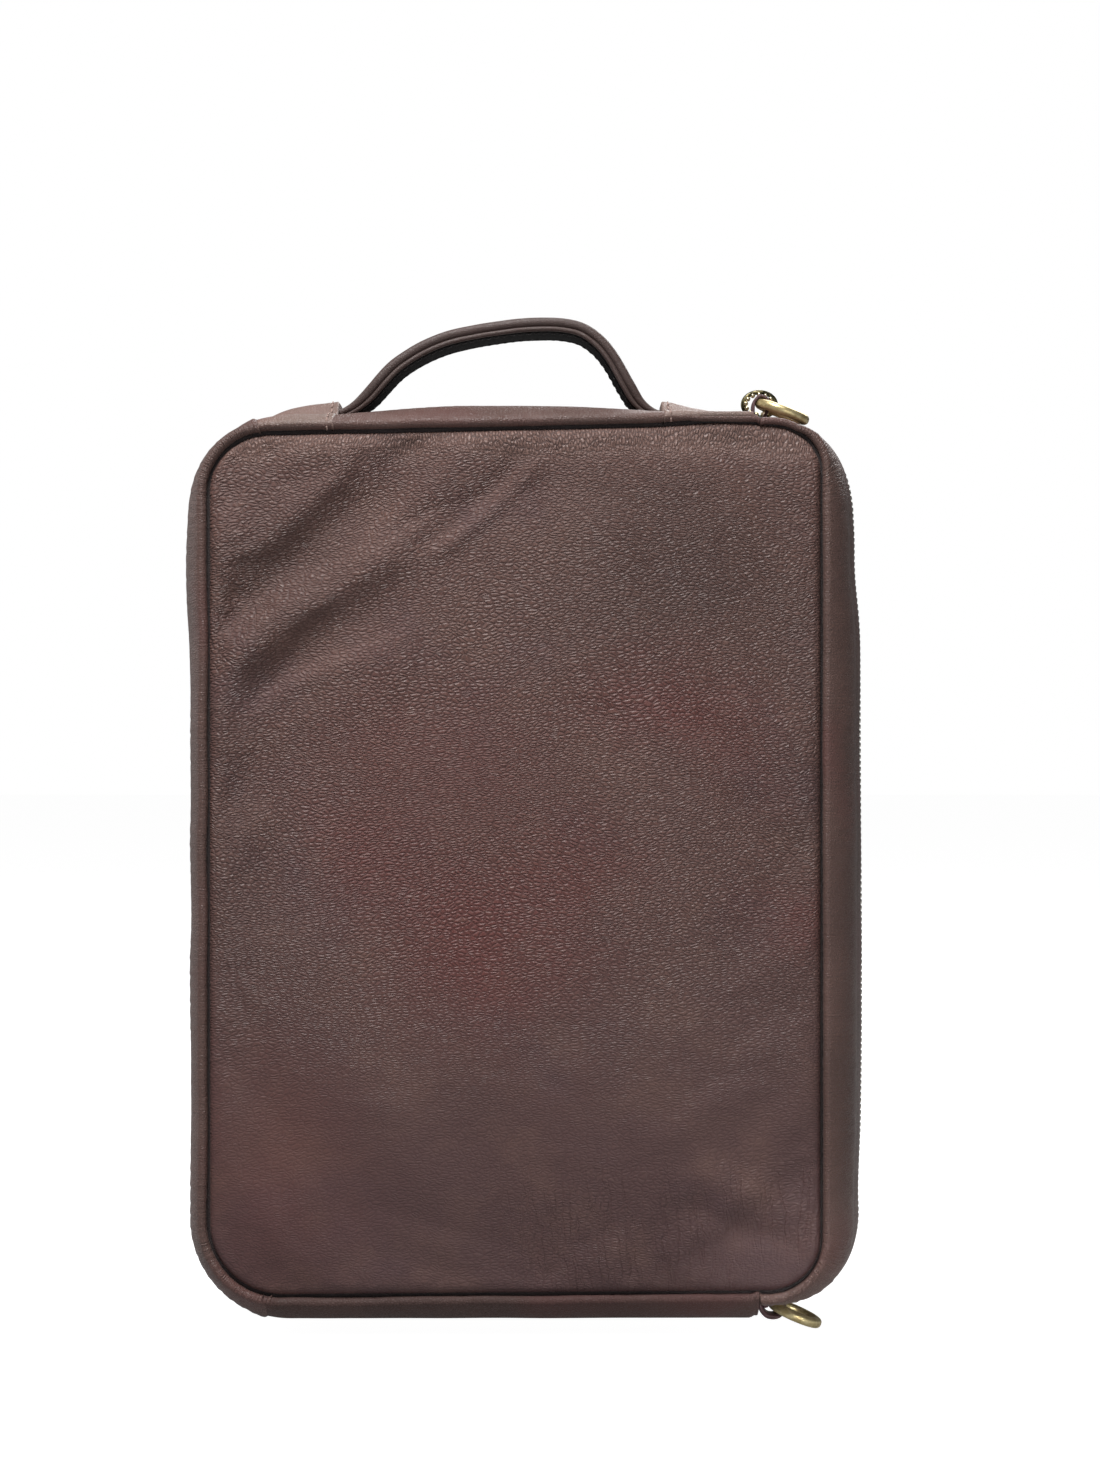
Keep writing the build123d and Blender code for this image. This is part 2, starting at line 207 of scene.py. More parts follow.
def wall_inset(points, normals, gap):
    """Distance from each point, straight inwards, to the wall's outline grown by the seam gap."""
    ring, ring_normals = WALL.sample(0, WALL.length, 720)
    ring = lean(ring + gap * ring_normals)
    out = np.zeros(len(points))
    for i, (point, normal) in enumerate(zip(points, normals)):
        tangent = np.array((-normal[1], normal[0]))
        rel = ring - point
        along = rel @ tangent
        depth = -(rel @ normal)
        cross = np.where((along[:-1] * along[1:] <= 0) & (depth[:-1] > 0))[0]
        share = along[cross] / (along[cross] - along[cross + 1] + 1e-12)
        hits = depth[cross] + share * (depth[cross + 1] - depth[cross])
        out[i] = hits.min()
    return out


# ---------------------------------------------------------------- meshes


def new_object(name, vertices, faces):
    mesh = bpy.data.meshes.new(name)
    mesh.from_pydata((np.asarray(vertices) * MM).tolist(), [], faces)
    mesh.validate()
    mesh.polygons.foreach_set("use_smooth", [True] * len(mesh.polygons))
    mesh.update()
    obj = bpy.data.objects.new(name, mesh)
    bpy.context.scene.collection.objects.link(obj)
    return obj


def grid_faces(rows, cols, wrap_cols, wrap_rows=False):
    faces = []
    for i in range(rows if wrap_rows else rows - 1):
        for j in range(cols if wrap_cols else cols - 1):
            across = (j + 1) % cols
            low = i * cols
            high = (i + 1) % rows * cols
            faces.append((low + j, low + across, high + across, high + j))
    return faces


def tube_faces(rows, cols, closed_path=False):
    """Faces of a skin whose rows are rings of points, with a cap at each end unless its path is closed."""
    faces = grid_faces(rows, cols, True, closed_path)
    if not closed_path:
        faces.append(tuple(range(cols - 1, -1, -1)))
        faces.append(tuple((rows - 1) * cols + j for j in range(cols)))
    return faces


def fix_normals(obj):
    bm = bmesh.new()
    bm.from_mesh(obj.data)
    bmesh.ops.recalc_face_normals(bm, faces=bm.faces)
    bm.to_mesh(obj.data)
    bm.free()


def tube_object(name, grid, closed_path=False):
    """A closed skin from a grid whose rows are stations and whose columns go round the section."""
    obj = new_object(name, grid.reshape(-1, 3), tube_faces(*grid.shape[:2], closed_path))
    fix_normals(obj)
    return obj


def section_row(point, normal, out, y):
    """One station of a skin: a section's heights along the normal and its places across the bag."""
    return np.stack([point[0] + out * normal[0], y, point[1] + out * normal[1]], axis=-1)


def move_out(grid, outside, move, normals):
    """Move the outside of a skin along each station's normal."""
    grid[:, :outside, 0] += move * normals[:, 0][:, None]
    grid[:, :outside, 2] += move * normals[:, 1][:, None]


def joined(name, pieces):
    """One object from several (vertices, faces) pairs in millimetres."""
    vertices, faces = [], []
    for piece_vertices, piece_faces in pieces:
        offset = len(vertices)
        vertices.extend(piece_vertices)
        faces.extend([tuple(offset + k for k in face) for face in piece_faces])
    obj = new_object(name, vertices, faces)
    fix_normals(obj)
    return obj


def place(obj, body, slot, material, *nodes):
    """Material and body of a finished piece, and the CAD nodes it stands for; its slot argument is not used.
    """
    obj.data.materials.clear()
    obj.data.materials.append(material)
    if nodes:
        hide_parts(*nodes)
    if body:
        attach(obj, body)
    return obj


# ---------------------------------------------------------------- node helpers


class Nodes:
    """Short calls for building a material's node tree."""

    def __init__(self, name):
        self.material = bpy.data.materials.new(name)
        self.material.use_nodes = True
        self.tree = self.material.node_tree
        self.shader = next(n for n in self.tree.nodes if n.type == "BSDF_PRINCIPLED")
        self.coords = self.add("ShaderNodeTexCoord").outputs["Object"]

    def add(self, kind, **settings):
        node = self.tree.nodes.new(kind)
        for key, value in settings.items():
            setattr(node, key, value)
        return node

    def link(self, source, target):
        self.tree.links.new(source, target)

    def put(self, value, target):
        if isinstance(value, (int, float)):
            target.default_value = value
        elif isinstance(value, tuple):
            target.default_value = (*value, 1.0) if len(target.default_value) == 4 else value
        else:
            self.link(value, target)

    def math(self, operation, a, b=0.0):
        node = self.add("ShaderNodeMath", operation=operation)
        self.put(a, node.inputs[0])
        self.put(b, node.inputs[1])
        return node.outputs[0]

    def plus(self, a, b):
        return self.math("ADD", a, b)

    def times(self, a, b):
        return self.math("MULTIPLY", a, b)

    def vector_math(self, operation, a, b):
        node = self.add("ShaderNodeVectorMath", operation=operation)
        self.put(a, node.inputs[0])
        self.put(b, node.inputs[1])
        return node.outputs[0]

    def stretch(self, factors, vector=None):
        return self.vector_math("MULTIPLY", vector or self.coords, factors)

    def warp(self, vector, scale, reach, source=None):
        """Move a vector about by slow noise, so that what is drawn with it looks grown."""
        cloud = self.noise(scale, 1.0, vector=source, color=True)
        push = self.vector_math("SUBTRACT", cloud, (0.5, 0.5, 0.5))
        return self.vector_math("ADD", vector, self.vector_math("MULTIPLY", push, reach))

    def noise(self, scale, detail=2.0, roughness=0.5, vector=None, color=False):
        node = self.add("ShaderNodeTexNoise")
        self.put(vector or self.coords, node.inputs["Vector"])
        self.put(scale, node.inputs["Scale"])
        self.put(detail, node.inputs["Detail"])
        self.put(roughness, node.inputs["Roughness"])
        return node.outputs["Color" if color else "Fac"]

    def combine(self, x, y, z):
        node = self.add("ShaderNodeCombineXYZ")
        for value, target in zip((x, y, z), node.inputs):
            self.put(value, target)
        return node.outputs[0]

    def attribute(self, name):
        return self.add("ShaderNodeAttribute", attribute_name=name).outputs["Fac"]

    def blend_numbers(self, factor, a, b):
        node = self.add("ShaderNodeMix", data_type="FLOAT")
        for value, target in zip((factor, a, b), (node.inputs[0], node.inputs[2], node.inputs[3])):
            self.put(value, target)
        return node.outputs[0]

    def cell_edges(self, scale, vector, flat=False):
        """Distance to the nearest edge between cells."""
        dimensions = "2D" if flat else "3D"
        node = self.add("ShaderNodeTexVoronoi", feature="DISTANCE_TO_EDGE", voronoi_dimensions=dimensions)
        self.put(vector, node.inputs["Vector"])
        self.put(scale, node.inputs["Scale"])
        return node.outputs["Distance"]

    def ramp(self, value, low, high, out_low=0.0, out_high=1.0):
        node = self.add("ShaderNodeMapRange", interpolation_type="SMOOTHSTEP")
        for key, number in zip(("Value", "From Min", "From Max", "To Min", "To Max"),
                               (value, low, high, out_low, out_high)):
            self.put(number, node.inputs[key])
        return node.outputs["Result"]

    def mix(self, factor, a, b):
        node = self.add("ShaderNodeMix", data_type="RGBA")
        self.put(factor, node.inputs[0])
        self.put(a, node.inputs[6])
        self.put(b, node.inputs[7])
        return node.outputs[2]

    def split(self):
        node = self.add("ShaderNodeSeparateXYZ")
        self.put(self.coords, node.inputs[0])
        return node.outputs

    def bump(self, height, distance_mm):
        node = self.add("ShaderNodeBump")
        self.put(height, node.inputs["Height"])
        self.put(distance_mm * MM, node.inputs["Distance"])
        return node.outputs["Normal"]

    def finish(self, color, roughness, normal=None, **extra):
        self.put(color, self.shader.inputs["Base Color"])
        self.put(roughness, self.shader.inputs["Roughness"])
        if normal:
            self.link(normal, self.shader.inputs["Normal"])
        for key, value in extra.items():
            self.put(value, self.shader.inputs[key.replace("_", " ")])
        return self.material


def srgb(red, green, blue):
    """Linear colour from ordinary 0-255 screen values."""
    def one(value):
        value /= 255.0
        return value / 12.92 if value <= 0.04045 else ((value + 0.055) / 1.055) ** 2.4
    return (one(red), one(green), one(blue))


# ---------------------------------------------------------------- materials


GRAIN_CELLS = 860.0         # pebbles of the wall's hide to the metre
GRAIN_DEPTH = 0.34
LYING = (0.47, 1.0, 1.0)    # the pebbles are wider than they are tall
STANDING = (1.0, 0.45, 1.0)
COLOUR_CHANGE_HEIGHT = 0.24


def wall_leather():
    """Pebbled, drum-dyed hide. Flat pebbles lie across the wall and stand upright under its top edge;
    the dye is uneven, with red blotches, and the grain fades and creases towards the base."""
    n = Nodes("wall_leather")
    x, _, z = n.split()
    flat = n.combine(x, z, 0.0)
    moved = n.warp(flat, 13.0, (0.02, 0.02, 0.0), flat)
    moved = n.warp(moved, 170.0, (0.0022, 0.0022, 0.0), flat)
    across = n.cell_edges(GRAIN_CELLS, n.stretch(LYING, moved), flat=True)
    upright = n.cell_edges(GRAIN_CELLS, n.stretch(STANDING, moved), flat=True)
    top_band = n.attribute("upright")
    edge = n.blend_numbers(top_band, across, upright)
    amount = n.attribute("grain")
    pebble = n.ramp(edge, 0.0, 0.38)
    ripple = n.noise(520.0, 2.0, 0.55, n.stretch((0.36, 1.3, 1.0), moved))
    height = n.times(n.plus(pebble, n.times(ripple, 1.3)), amount)
    creases = n.noise(210.0, 2.0, 0.55, n.stretch((1.0, 0.13, 1.0), moved))
    sharp = n.math("ABSOLUTE", n.math("SUBTRACT", creases, 0.5))
    drawn = n.times(n.ramp(sharp, 0.0, 0.05, -0.6, 0.0), n.attribute("crease"))
    height = n.plus(height, drawn)
    height = n.plus(height, n.times(n.noise(3600.0, 1.0, vector=flat), 0.2))

    color = n.mix(n.ramp(z, 0.0, COLOUR_CHANGE_HEIGHT), PANEL_LOW_BROWN, PANEL_BROWN)
    color = n.mix(n.ramp(n.noise(26.0, 4.0, 0.6, flat), 0.42, 0.75, 0.0, 0.5), color, PANEL_PALE)
    color = n.mix(n.ramp(n.noise(15.0, 3.0, 0.6, flat), 0.5, 0.72, 0.0, 0.5), color, PANEL_PLUM)
    color = n.mix(n.times(n.attribute("dye"), 0.9), color, PANEL_RED)
    # painted shade: darker patches where flatter parts, fold valleys and rolled edges fall in shade
    color = n.mix(n.attribute("shade"), color, PANEL_PAINTED_SHADE)
    # painted shade in the grain's valleys, deeper in the top band
    valley = n.times(n.ramp(edge, 0.0, 0.2, 0.50, 0.0), amount)
    valley = n.times(valley, n.plus(1.0, n.times(top_band, 0.5)))
    # painted highlight: the band under the top edge, where the wall curves back into the top light, is
    # painted lighter
    color = n.mix(n.times(top_band, 0.5), color, PANEL_TOP_EDGE_HIGHLIGHT)
    color = n.mix(valley, color, PANEL_VALLEY_SHADE)
    # lighter on the raised ripples: partly rubbed wear, partly painted sheen
    worn = n.times(n.ramp(ripple, 0.5, 0.75, 0.0, 0.28), amount)
    color = n.mix(worn, color, PANEL_WEAR_AND_SHEEN)
    roughness = n.plus(n.ramp(edge, 0.0, 0.25, 0.62, 0.44), n.ramp(ripple, 0.2, 0.8, 0.06, -0.04))
    return n.finish(color, roughness, n.bump(height, GRAIN_DEPTH), Specular_IOR_Level=0.42,
                    Sheen_Weight=0.03, Sheen_Roughness=0.5)


def shaded(color, amount):
    return tuple(channel * amount for channel in color)


def fine_leather(name, base, grain=950.0, depth=0.12, gloss=0.44, shine=0.45):
    """The same hide split thinner and stretched: tight grain, short wrinkles, rubbed lighter in places."""
    n = Nodes(name)
    moved = n.warp(n.coords, 70.0, (0.006, 0.006, 0.006))
    edge = n.cell_edges(grain, moved)
    pebble = n.ramp(edge, 0.0, 0.35)
    wrinkle = n.noise(240.0, 3.0, 0.6, moved)
    height = n.plus(pebble, n.times(wrinkle, 1.6))
    _, y, _ = n.split()
    across = n.combine(n.times(n.attribute("along"), 0.5), n.times(y, 110.0), 0.0)
    folded = n.math("ABSOLUTE", n.math("SUBTRACT", n.noise(1.0, 2.0, 0.5, across), 0.5))
    pucker = n.times(n.ramp(folded, 0.0, 0.11, -1.5, 0.0), n.attribute("pucker"))
    height = n.plus(height, pucker)
    # painted shade in the grain's valleys
    color = n.mix(n.ramp(edge, 0.0, 0.16, 0.5, 0.0), base, shaded(base, 0.5))
    color = n.mix(n.ramp(n.noise(28.0, 3.0, 0.6), 0.4, 0.75, 0.0, 0.6), color, shaded(base, 1.3))
    red = (base[0] * 1.1, base[1] * 0.8, base[2] * 0.85)
    color = n.mix(n.ramp(n.noise(19.0, 2.0, 0.5), 0.5, 0.7, 0.0, 0.6), color, red)
    roughness = n.plus(n.ramp(edge, 0.0, 0.2, gloss + 0.14, gloss), n.ramp(wrinkle, 0.3, 0.8, 0.05, -0.05))
    return n.finish(color, roughness, n.bump(height, depth), Specular_IOR_Level=shine,
                    Sheen_Weight=0.05, Sheen_Roughness=0.5)


def black_lining():
    n = Nodes("black_lining")
    cells = n.cell_edges(900.0, n.stretch((1.0, 1.0, 1.2)))
    height = n.plus(n.ramp(cells, 0.0, 0.3), n.noise(1500.0, 3.0))
    color = n.mix(n.ramp(n.noise(60.0, 4.0), 0.3, 0.8), srgb(5, 5, 6), srgb(15, 14, 14))
    return n.finish(color, 0.66, n.bump(height, 0.12), Specular_IOR_Level=0.08)


def woven(name, base, threads=2400.0):
    """Tight twill: two crossed wave patterns, uneven yarn."""
    n = Nodes(name)
    x, y, z = n.split()
    across = n.plus(n.times(x, threads), n.times(z, threads))
    along = n.times(y, threads * 1.4)
    weave = n.times(n.math("SINE", across), n.math("SINE", along))
    yarn = n.plus(n.times(weave, 0.5), n.noise(1800.0, 2.0))
    # the yarn's colour follows its height: uneven yarn, with painted shade in the weave's hollows and painted
    # highlight on its raised threads
    color = n.mix(n.ramp(yarn, 0.0, 1.2), shaded(base, 0.5), shaded(base, 1.6))
    return n.finish(color, 0.85, n.bump(yarn, 0.12), Sheen_Weight=0.2)


def thread(name, base):
    """Twisted sewing thread."""
    n = Nodes(name)
    x, y, z = n.split()
    twist = n.math("SINE", n.times(n.plus(n.plus(x, y), z), 9000.0))
    # painted shade in the twist's grooves and painted highlight on its strands
    color = n.mix(n.ramp(twist, -1.0, 1.0), shaded(base, 0.7), shaded(base, 1.15))
    return n.finish(color, 0.7, n.bump(twist, 0.05), Sheen_Weight=0.3)


def metal(name, bright, dull, rough, worn=0.35, brushed=False, body=1.0):
    """Plated metal: tarnish in patches, small dents, scratches and a bright rubbed skin."""
    n = Nodes(name)
    tarnish = n.noise(240.0, 5.0, 0.65)
    color = n.mix(n.ramp(tarnish, worn, worn + 0.3), bright, dull)
    scratch = n.noise(900.0, 3.0, 0.6, n.stretch((0.25, 4.0, 1.0) if brushed else (1.0, 1.0, 1.0)))
    roughness = n.plus(n.times(tarnish, 0.22), rough - 0.08)
    height = n.plus(n.times(scratch, 0.5), n.noise(330.0, 2.0))
    return n.finish(color, roughness, n.bump(height, 0.05), Metallic=body)


def plain_inside(name, base, scale, roughness):
    """Foam, board and core, which stay hidden: speckled and fibrous."""
    n = Nodes(name)
    fibre = n.noise(scale, 4.0, 0.7, n.stretch((1.0, 1.0, 3.0)))
    color = n.mix(n.ramp(fibre, 0.3, 0.7), shaded(base, 0.7), shaded(base, 1.2))
    return n.finish(color, roughness, n.bump(fibre, 0.2))


PANEL_BROWN = srgb(99, 71, 65)
PANEL_LOW_BROWN = srgb(79, 55, 55)
PANEL_PALE = srgb(110, 82, 73)
PANEL_PLUM = srgb(80, 58, 62)
PANEL_RED = srgb(101, 55, 51)
# colour of the painted shade patches
PANEL_PAINTED_SHADE = srgb(74, 54, 49)
# colour of the painted highlight under the top edge
PANEL_TOP_EDGE_HIGHLIGHT = srgb(136, 110, 101)
# colour of the painted shade in the grain's valleys
PANEL_VALLEY_SHADE = srgb(52, 37, 36)
# colour of the rubbed wear and painted sheen on the raised ripples
PANEL_WEAR_AND_SHEEN = srgb(126, 98, 88)

MAT_WALL = wall_leather()
MAT_STRIP = fine_leather("strip_leather", srgb(91, 68, 62))
MAT_ANCHOR = fine_leather("anchor_leather", srgb(118, 98, 90), 1000.0, 0.10, 0.42)
MAT_BASE = fine_leather("base_leather", srgb(77, 57, 53), gloss=0.55, shine=0.3)
MAT_HANDLE = fine_leather("handle_leather_finish", srgb(77, 61, 57), 1300.0, 0.07, 0.44)
MAT_TAB = fine_leather("tab_leather", srgb(84, 60, 62), 1400.0, 0.06, 0.46)
# near-black leather at the bottom of the seams: painted shade in the recess
MAT_SEAM_SHADE = fine_leather("seam_shade_leather", srgb(36, 26, 26), 1100.0, 0.1, 0.6)
MAT_LINING = black_lining()
MAT_TAPE = woven("zip_tape_weave", srgb(22, 21, 23))
MAT_CLOTH = woven("lining_weave", srgb(52, 48, 50), threads=1600.0)
MAT_THREAD = thread("stitch_thread", srgb(168, 138, 128))
MAT_BLACK_THREAD = thread("black_thread", srgb(36, 34, 35))
MAT_RING = metal("ring_brass", srgb(224, 209, 162), srgb(192, 172, 122), rough=0.36, brushed=True, body=0.75)
MAT_ANTIQUE = metal("antique_metal", srgb(150, 140, 104), srgb(42, 40, 30), worn=0.3, rough=0.34)
MAT_SLIDER = metal("slider_brass", srgb(206, 182, 158), srgb(96, 80, 62), worn=0.45, rough=0.3)
MAT_BEAD = metal("bead_metal", srgb(218, 208, 176), srgb(122, 110, 78), worn=0.45, rough=0.25)
MAT_TEETH = metal("teeth_metal", srgb(228, 223, 213), srgb(196, 190, 180), worn=0.5, rough=0.34)
MAT_BOARD = plain_inside("fibreboard", srgb(150, 130, 104), 400.0, 0.85)


# ---------------------------------------------------------------- padded walls

WALL_STEP = 1.3
CLOTH_EVERY = 2            # the simulated sheet has one point for this many of the finished grid's
CLOTH_FRAMES = 20
CLOTH_LIMIT = 6.0
CLOTH_SLACK = 0.012
CLOTH_PRESSURE = 3.0
CLOTH_SHARE = 0.35         # how much of the simulated cloth's shape the stiff padding lets through
SOFT_SHARE = 0.55          # the same again in the softer upper left
WALL_PROUD = 0.9           # the padding stands this far above the strips' edges
ROLL_R = 4.2               # the wall's rolled edge
ROLL_SHARE = 0.8
CROWN = 2.2                # the padding's rise from the edge to the middle
CROWN_REACH = 46.0
TOP_DROOP = 1.4            # the padding thins out under the top edge and above the base
TOP_DROOP_REACH = 24.0
LOW_DROOP = 0.9
LOW_DROOP_REACH = 22.0
WALL_SKIRT = 6.5           # the wall's edge goes this deep into the seam


def wall_outline_map(s, t):
    """Place on the wall for s and t between -1 and 1: straight inside, rounded at the corners."""
    half_w = (WALL_RIGHT - WALL_LEFT) / 2
    half_h = (WALL_TOP - WALL_LOW) / 2
    x = s * half_w
    z = t * half_h
    radii = {(-1, 1): WALL_RADII[0], (1, 1): WALL_RADII[1], (1, -1): WALL_RADII[2], (-1, -1): WALL_RADII[3]}
    rim = np.minimum(half_w - np.abs(x), half_h - np.abs(z))
    for (sx, sz), radius in radii.items():
        p = (sx * x - (half_w - radius)) / radius
        q = (sz * z - (half_h - radius)) / radius
        inside = (p > 0) & (q > 0)
        pp, qq = p[inside], q[inside]
        reach = np.maximum(pp, qq)
        angle = np.where(pp >= qq, math.pi / 4 * qq / reach, math.pi / 2 - math.pi / 4 * pp / reach)
        x[inside] = sx * (half_w - radius + radius * reach * np.cos(angle))
        z[inside] = sz * (half_h - radius + radius * reach * np.sin(angle))
        rim[inside] = radius * (1 - reach)
    x += (WALL_RIGHT + WALL_LEFT) / 2
    z += (WALL_TOP + WALL_LOW) / 2
    z += edge_rise(x, z)
    return x, z, rim


def wall_grid(step):
    columns = int(round((WALL_RIGHT - WALL_LEFT) / step / 2)) * 2 + 1
    rows = int(round((WALL_TOP - WALL_LOW) / step / 2)) * 2 + 1
    s, t = np.meshgrid(np.linspace(-1, 1, columns), np.linspace(-1, 1, rows))
    return wall_outline_map(s, t)


def drape(name, x, z):
    """Cloth simulation of the wall's leather, held at its seam; returns how far each point moves."""
    rows, cols = x.shape
    points = np.stack([x, np.zeros_like(x), z], axis=-1).reshape(-1, 3)
    sheet = new_object(name, points, grid_faces(rows, cols, False))
    edge = np.zeros((rows, cols), bool)
    edge[[0, -1], :] = True
    edge[:, [0, -1]] = True
    group = sheet.vertex_groups.new(name="seam")
    group.add([int(k) for k in np.flatnonzero(edge.ravel())], 1.0, "REPLACE")
    cloth = sheet.modifiers.new("leather", "CLOTH")
    settings = cloth.settings
    settings.quality = 6
    settings.mass = 0.15
    settings.tension_stiffness = 40
    settings.compression_stiffness = 40
    settings.shear_stiffness = 20
    settings.bending_stiffness = 12
    settings.vertex_group_mass = "seam"
    settings.shrink_min = -CLOTH_SLACK
    settings.use_pressure = True
    settings.uniform_pressure_force = CLOTH_PRESSURE
    settings.effector_weights.gravity = 0.0
    cloth.collision_settings.use_collision = False
    scene = bpy.context.scene
    for number in range(1, CLOTH_FRAMES + 1):
        scene.frame_set(number)
    evaluated = sheet.evaluated_get(bpy.context.evaluated_depsgraph_get())
    out = np.zeros(len(points) * 3, np.float32)
    evaluated.data.vertices.foreach_get("co", out)
    scene.frame_set(1)
    bpy.data.objects.remove(sheet)
    moved = out.reshape(rows, cols, 3) / MM - points.reshape(rows, cols, 3)
    return np.clip(moved, -CLOTH_LIMIT, CLOTH_LIMIT)


def refine(values, rows, cols):
    """Smooth interpolation of a coarse grid of values onto a finer one."""
    def along(data, count):
        old = np.linspace(0, 1, data.shape[0])
        new = np.linspace(0, 1, count)
        index = np.clip(np.searchsorted(old, new) - 1, 0, len(old) - 2)
        share = (new - old[index]) / (old[1] - old[0])
        before = data[np.clip(index - 1, 0, len(old) - 1)]
        first = data[index]
        second = data[index + 1]
        after = data[np.clip(index + 2, 0, len(old) - 1)]
        t = share.reshape((-1,) + (1,) * (data.ndim - 1))
        return first + 0.5 * t * (second - before + t * (
            2 * before - 5 * first + 4 * second - after + t * (3 * (first - second) + after - before)))
    half = along(values, rows)
    return np.swapaxes(along(np.swapaxes(half, 0, 1), cols), 0, 1)


def ridge(x, z, start, end, width, height, bend=0.0):
    """A soft fold from start to end: its height falls off to both sides and towards both ends."""
    (x0, z0), (x1, z1) = start, end
    length = math.hypot(x1 - x0, z1 - z0)
    ux, uz = (x1 - x0) / length, (z1 - z0) / length
    along = ((x - x0) * ux + (z - z0) * uz) / length
    side = -(x - x0) * uz + (z - z0) * ux - bend * 4 * along * (1 - along)
    ends = smooth(along / 0.25) * smooth((1 - along) / 0.35)
    return height * np.exp(-(side / width) ** 2) * ends


# soft folds: start, end, half width, height (below zero for a valley) and sideways bend
FRONT_FOLDS = (
    ((-126, 244), (-22, 314), 8.5, 3.4, 2.0),
    ((-130, 262), (-34, 330), 13.0, -2.2, 2.0),
    ((-118, 234), (-34, 286), 10.0, -1.4, 3.0),
    ((-122, 214), (-16, 266), 13.0, 1.4, 4.0),
    ((-50, 292), (8, 344), 4.0, -1.3, -3.0),
    ((-42, 290), (12, 338), 2.8, 1.1, -3.0),
    ((10, 300), (92, 330), 20.0, 0.8, 0.0),
    ((58, 62), (114, 40), 7.0, 0.9, 0.0),
    ((52, 50), (112, 26), 5.0, -0.9, 0.0),
    ((-100, 40), (-60, 160), 16.0, -0.6, 0.0),
    ((-20, 20), (-70, 110), 14.0, 0.6, 0.0),
)
BACK_FOLDS = (
    ((-110, 90), (20, 200), 14.0, 1.0, 8.0),
    ((-90, 70), (50, 150), 10.0, -0.8, 6.0),
    ((30, 320), (100, 250), 9.0, 0.8, 0.0),
)
SIDE_WRINKLES = 7
LOW_WRINKLES = 9


def folded(x, z, folds):
    out = np.zeros_like(x)
    for start, end, width, height, bend in folds:
        out += ridge(x, z, start, end, width, height, bend)
    return out


def front_folds(x, z):
    """Soft diagonal folds in the upper left, a crease under the handle and a few above the base."""
    out = folded(x, z, FRONT_FOLDS)
    for i in range(SIDE_WRINKLES):
        place_z = 300 - 7.5 * i + 3 * math.sin(2.1 * i)
        reach = 16 + 10 * math.sin(1.9 * i + 0.6)
        out += ridge(x, z, (-121, place_z), (-121 + reach, place_z + 0.3 * reach), 1.2, 0.35 * (-1) ** i)
    for i in range(LOW_WRINKLES):
        place_x = -10 + 11 * i + 3 * math.sin(2.3 * i)
        tall = 30 + 14 * math.sin(1.7 * i + 1)
        out += ridge(x, z, (place_x, 10), (place_x + 3 * math.sin(i), 10 + tall), 1.3, -0.4)
    return out


def back_folds(x, z):
    """The back lies flatter: a long ridge and a valley low down and a short ridge in an upper corner."""
    return folded(x, z, BACK_FOLDS)


# soft darker-red blotches left by uneven dye: centre x, centre z, half width, half height, strength
FRONT_DYE = (
    (-36, 217, 50, 32, 0.55), (-17, 148, 36, 33, 1.0), (-62, 178, 22, 20, 0.6), (52, 240, 26, 16, 0.85),
    (105, 158, 16, 15, 0.8), (82, 222, 20, 24, 0.45), (25, 176, 24, 20, 0.5), (-96, 60, 30, 50, 0.35),
)
# painted shade, where the wall's flatter parts, fold valleys and rolled edges fall in shade: centre x, centre
# z, half width, half height, strength
FRONT_PAINTED_SHADE = (
    (60, 290, 48, 42, 0.6), (-94, 292, 30, 26, 0.35), (112, 200, 22, 90, 0.3), (-112, 180, 16, 80, 0.2),
)
# painted shade on the back wall, in the same columns
BACK_PAINTED_SHADE = ((-20, 250, 60, 50, 0.3),)
BACK_DYE = ((20, 210, 50, 36, 0.6), (-60, 130, 36, 30, 0.7), (70, 90, 30, 24, 0.5))
# places where the grain is drawn into fine upright creases: centre x, centre z, half width, half height
FRONT_CREASES = ((38, 34, 46, 26), (92, 46, 26, 20), (-10, 342, 90, 9), (-112, 276, 16, 26))
BACK_CREASES = ((-30, 30, 50, 22), (10, 342, 80, 8))


def paint(obj, name, values):
    """Store one number per vertex for the material to read."""
    layer = obj.data.attributes.new(name, "FLOAT", "POINT")
    layer.data.foreach_set("value", np.asarray(values, np.float32))


def paint_wall(obj, dye, shade, creases, seed):
    count = len(obj.data.vertices)
    places = np.zeros(count * 3, np.float32)
    obj.data.vertices.foreach_get("co", places)
    places = places.reshape(-1, 3) / MM
    x, z = places[:, 0], places[:, 2]
    flat = np.stack([x, 0 * x, z], axis=1)
    shift = 9.0 * fbm(flat, 26.0, 3, seed)

    def blotches(places):
        total = np.zeros(count)
        for cx, cz, wide, tall, strength in places:
            total += strength * np.exp(-((x + shift - cx) / wide) ** 2 - ((z - shift - cz) / tall) ** 2)
        return np.clip(total, 0, 1)

    drawn = np.zeros(count)
    for cx, cz, wide, tall in creases:
        drawn = np.maximum(drawn, np.exp(-((x - cx) / wide) ** 4 - ((z + shift - cz) / tall) ** 4))
    paint(obj, "dye", blotches(dye))
    # painted shade patches
    paint(obj, "shade", blotches(shade))
    paint(obj, "crease", np.clip(drawn, 0, 1))
    # the top band: upright grain there, and the painted highlight under the top edge
    paint(obj, "upright", smooth((z + 0.4 * shift - (WALL_TOP - 15.0)) / 11.0))
    paint(obj, "grain", 0.28 + 0.66 * smooth((z + shift - 60.0) / 130.0) + 0.10 * drawn)


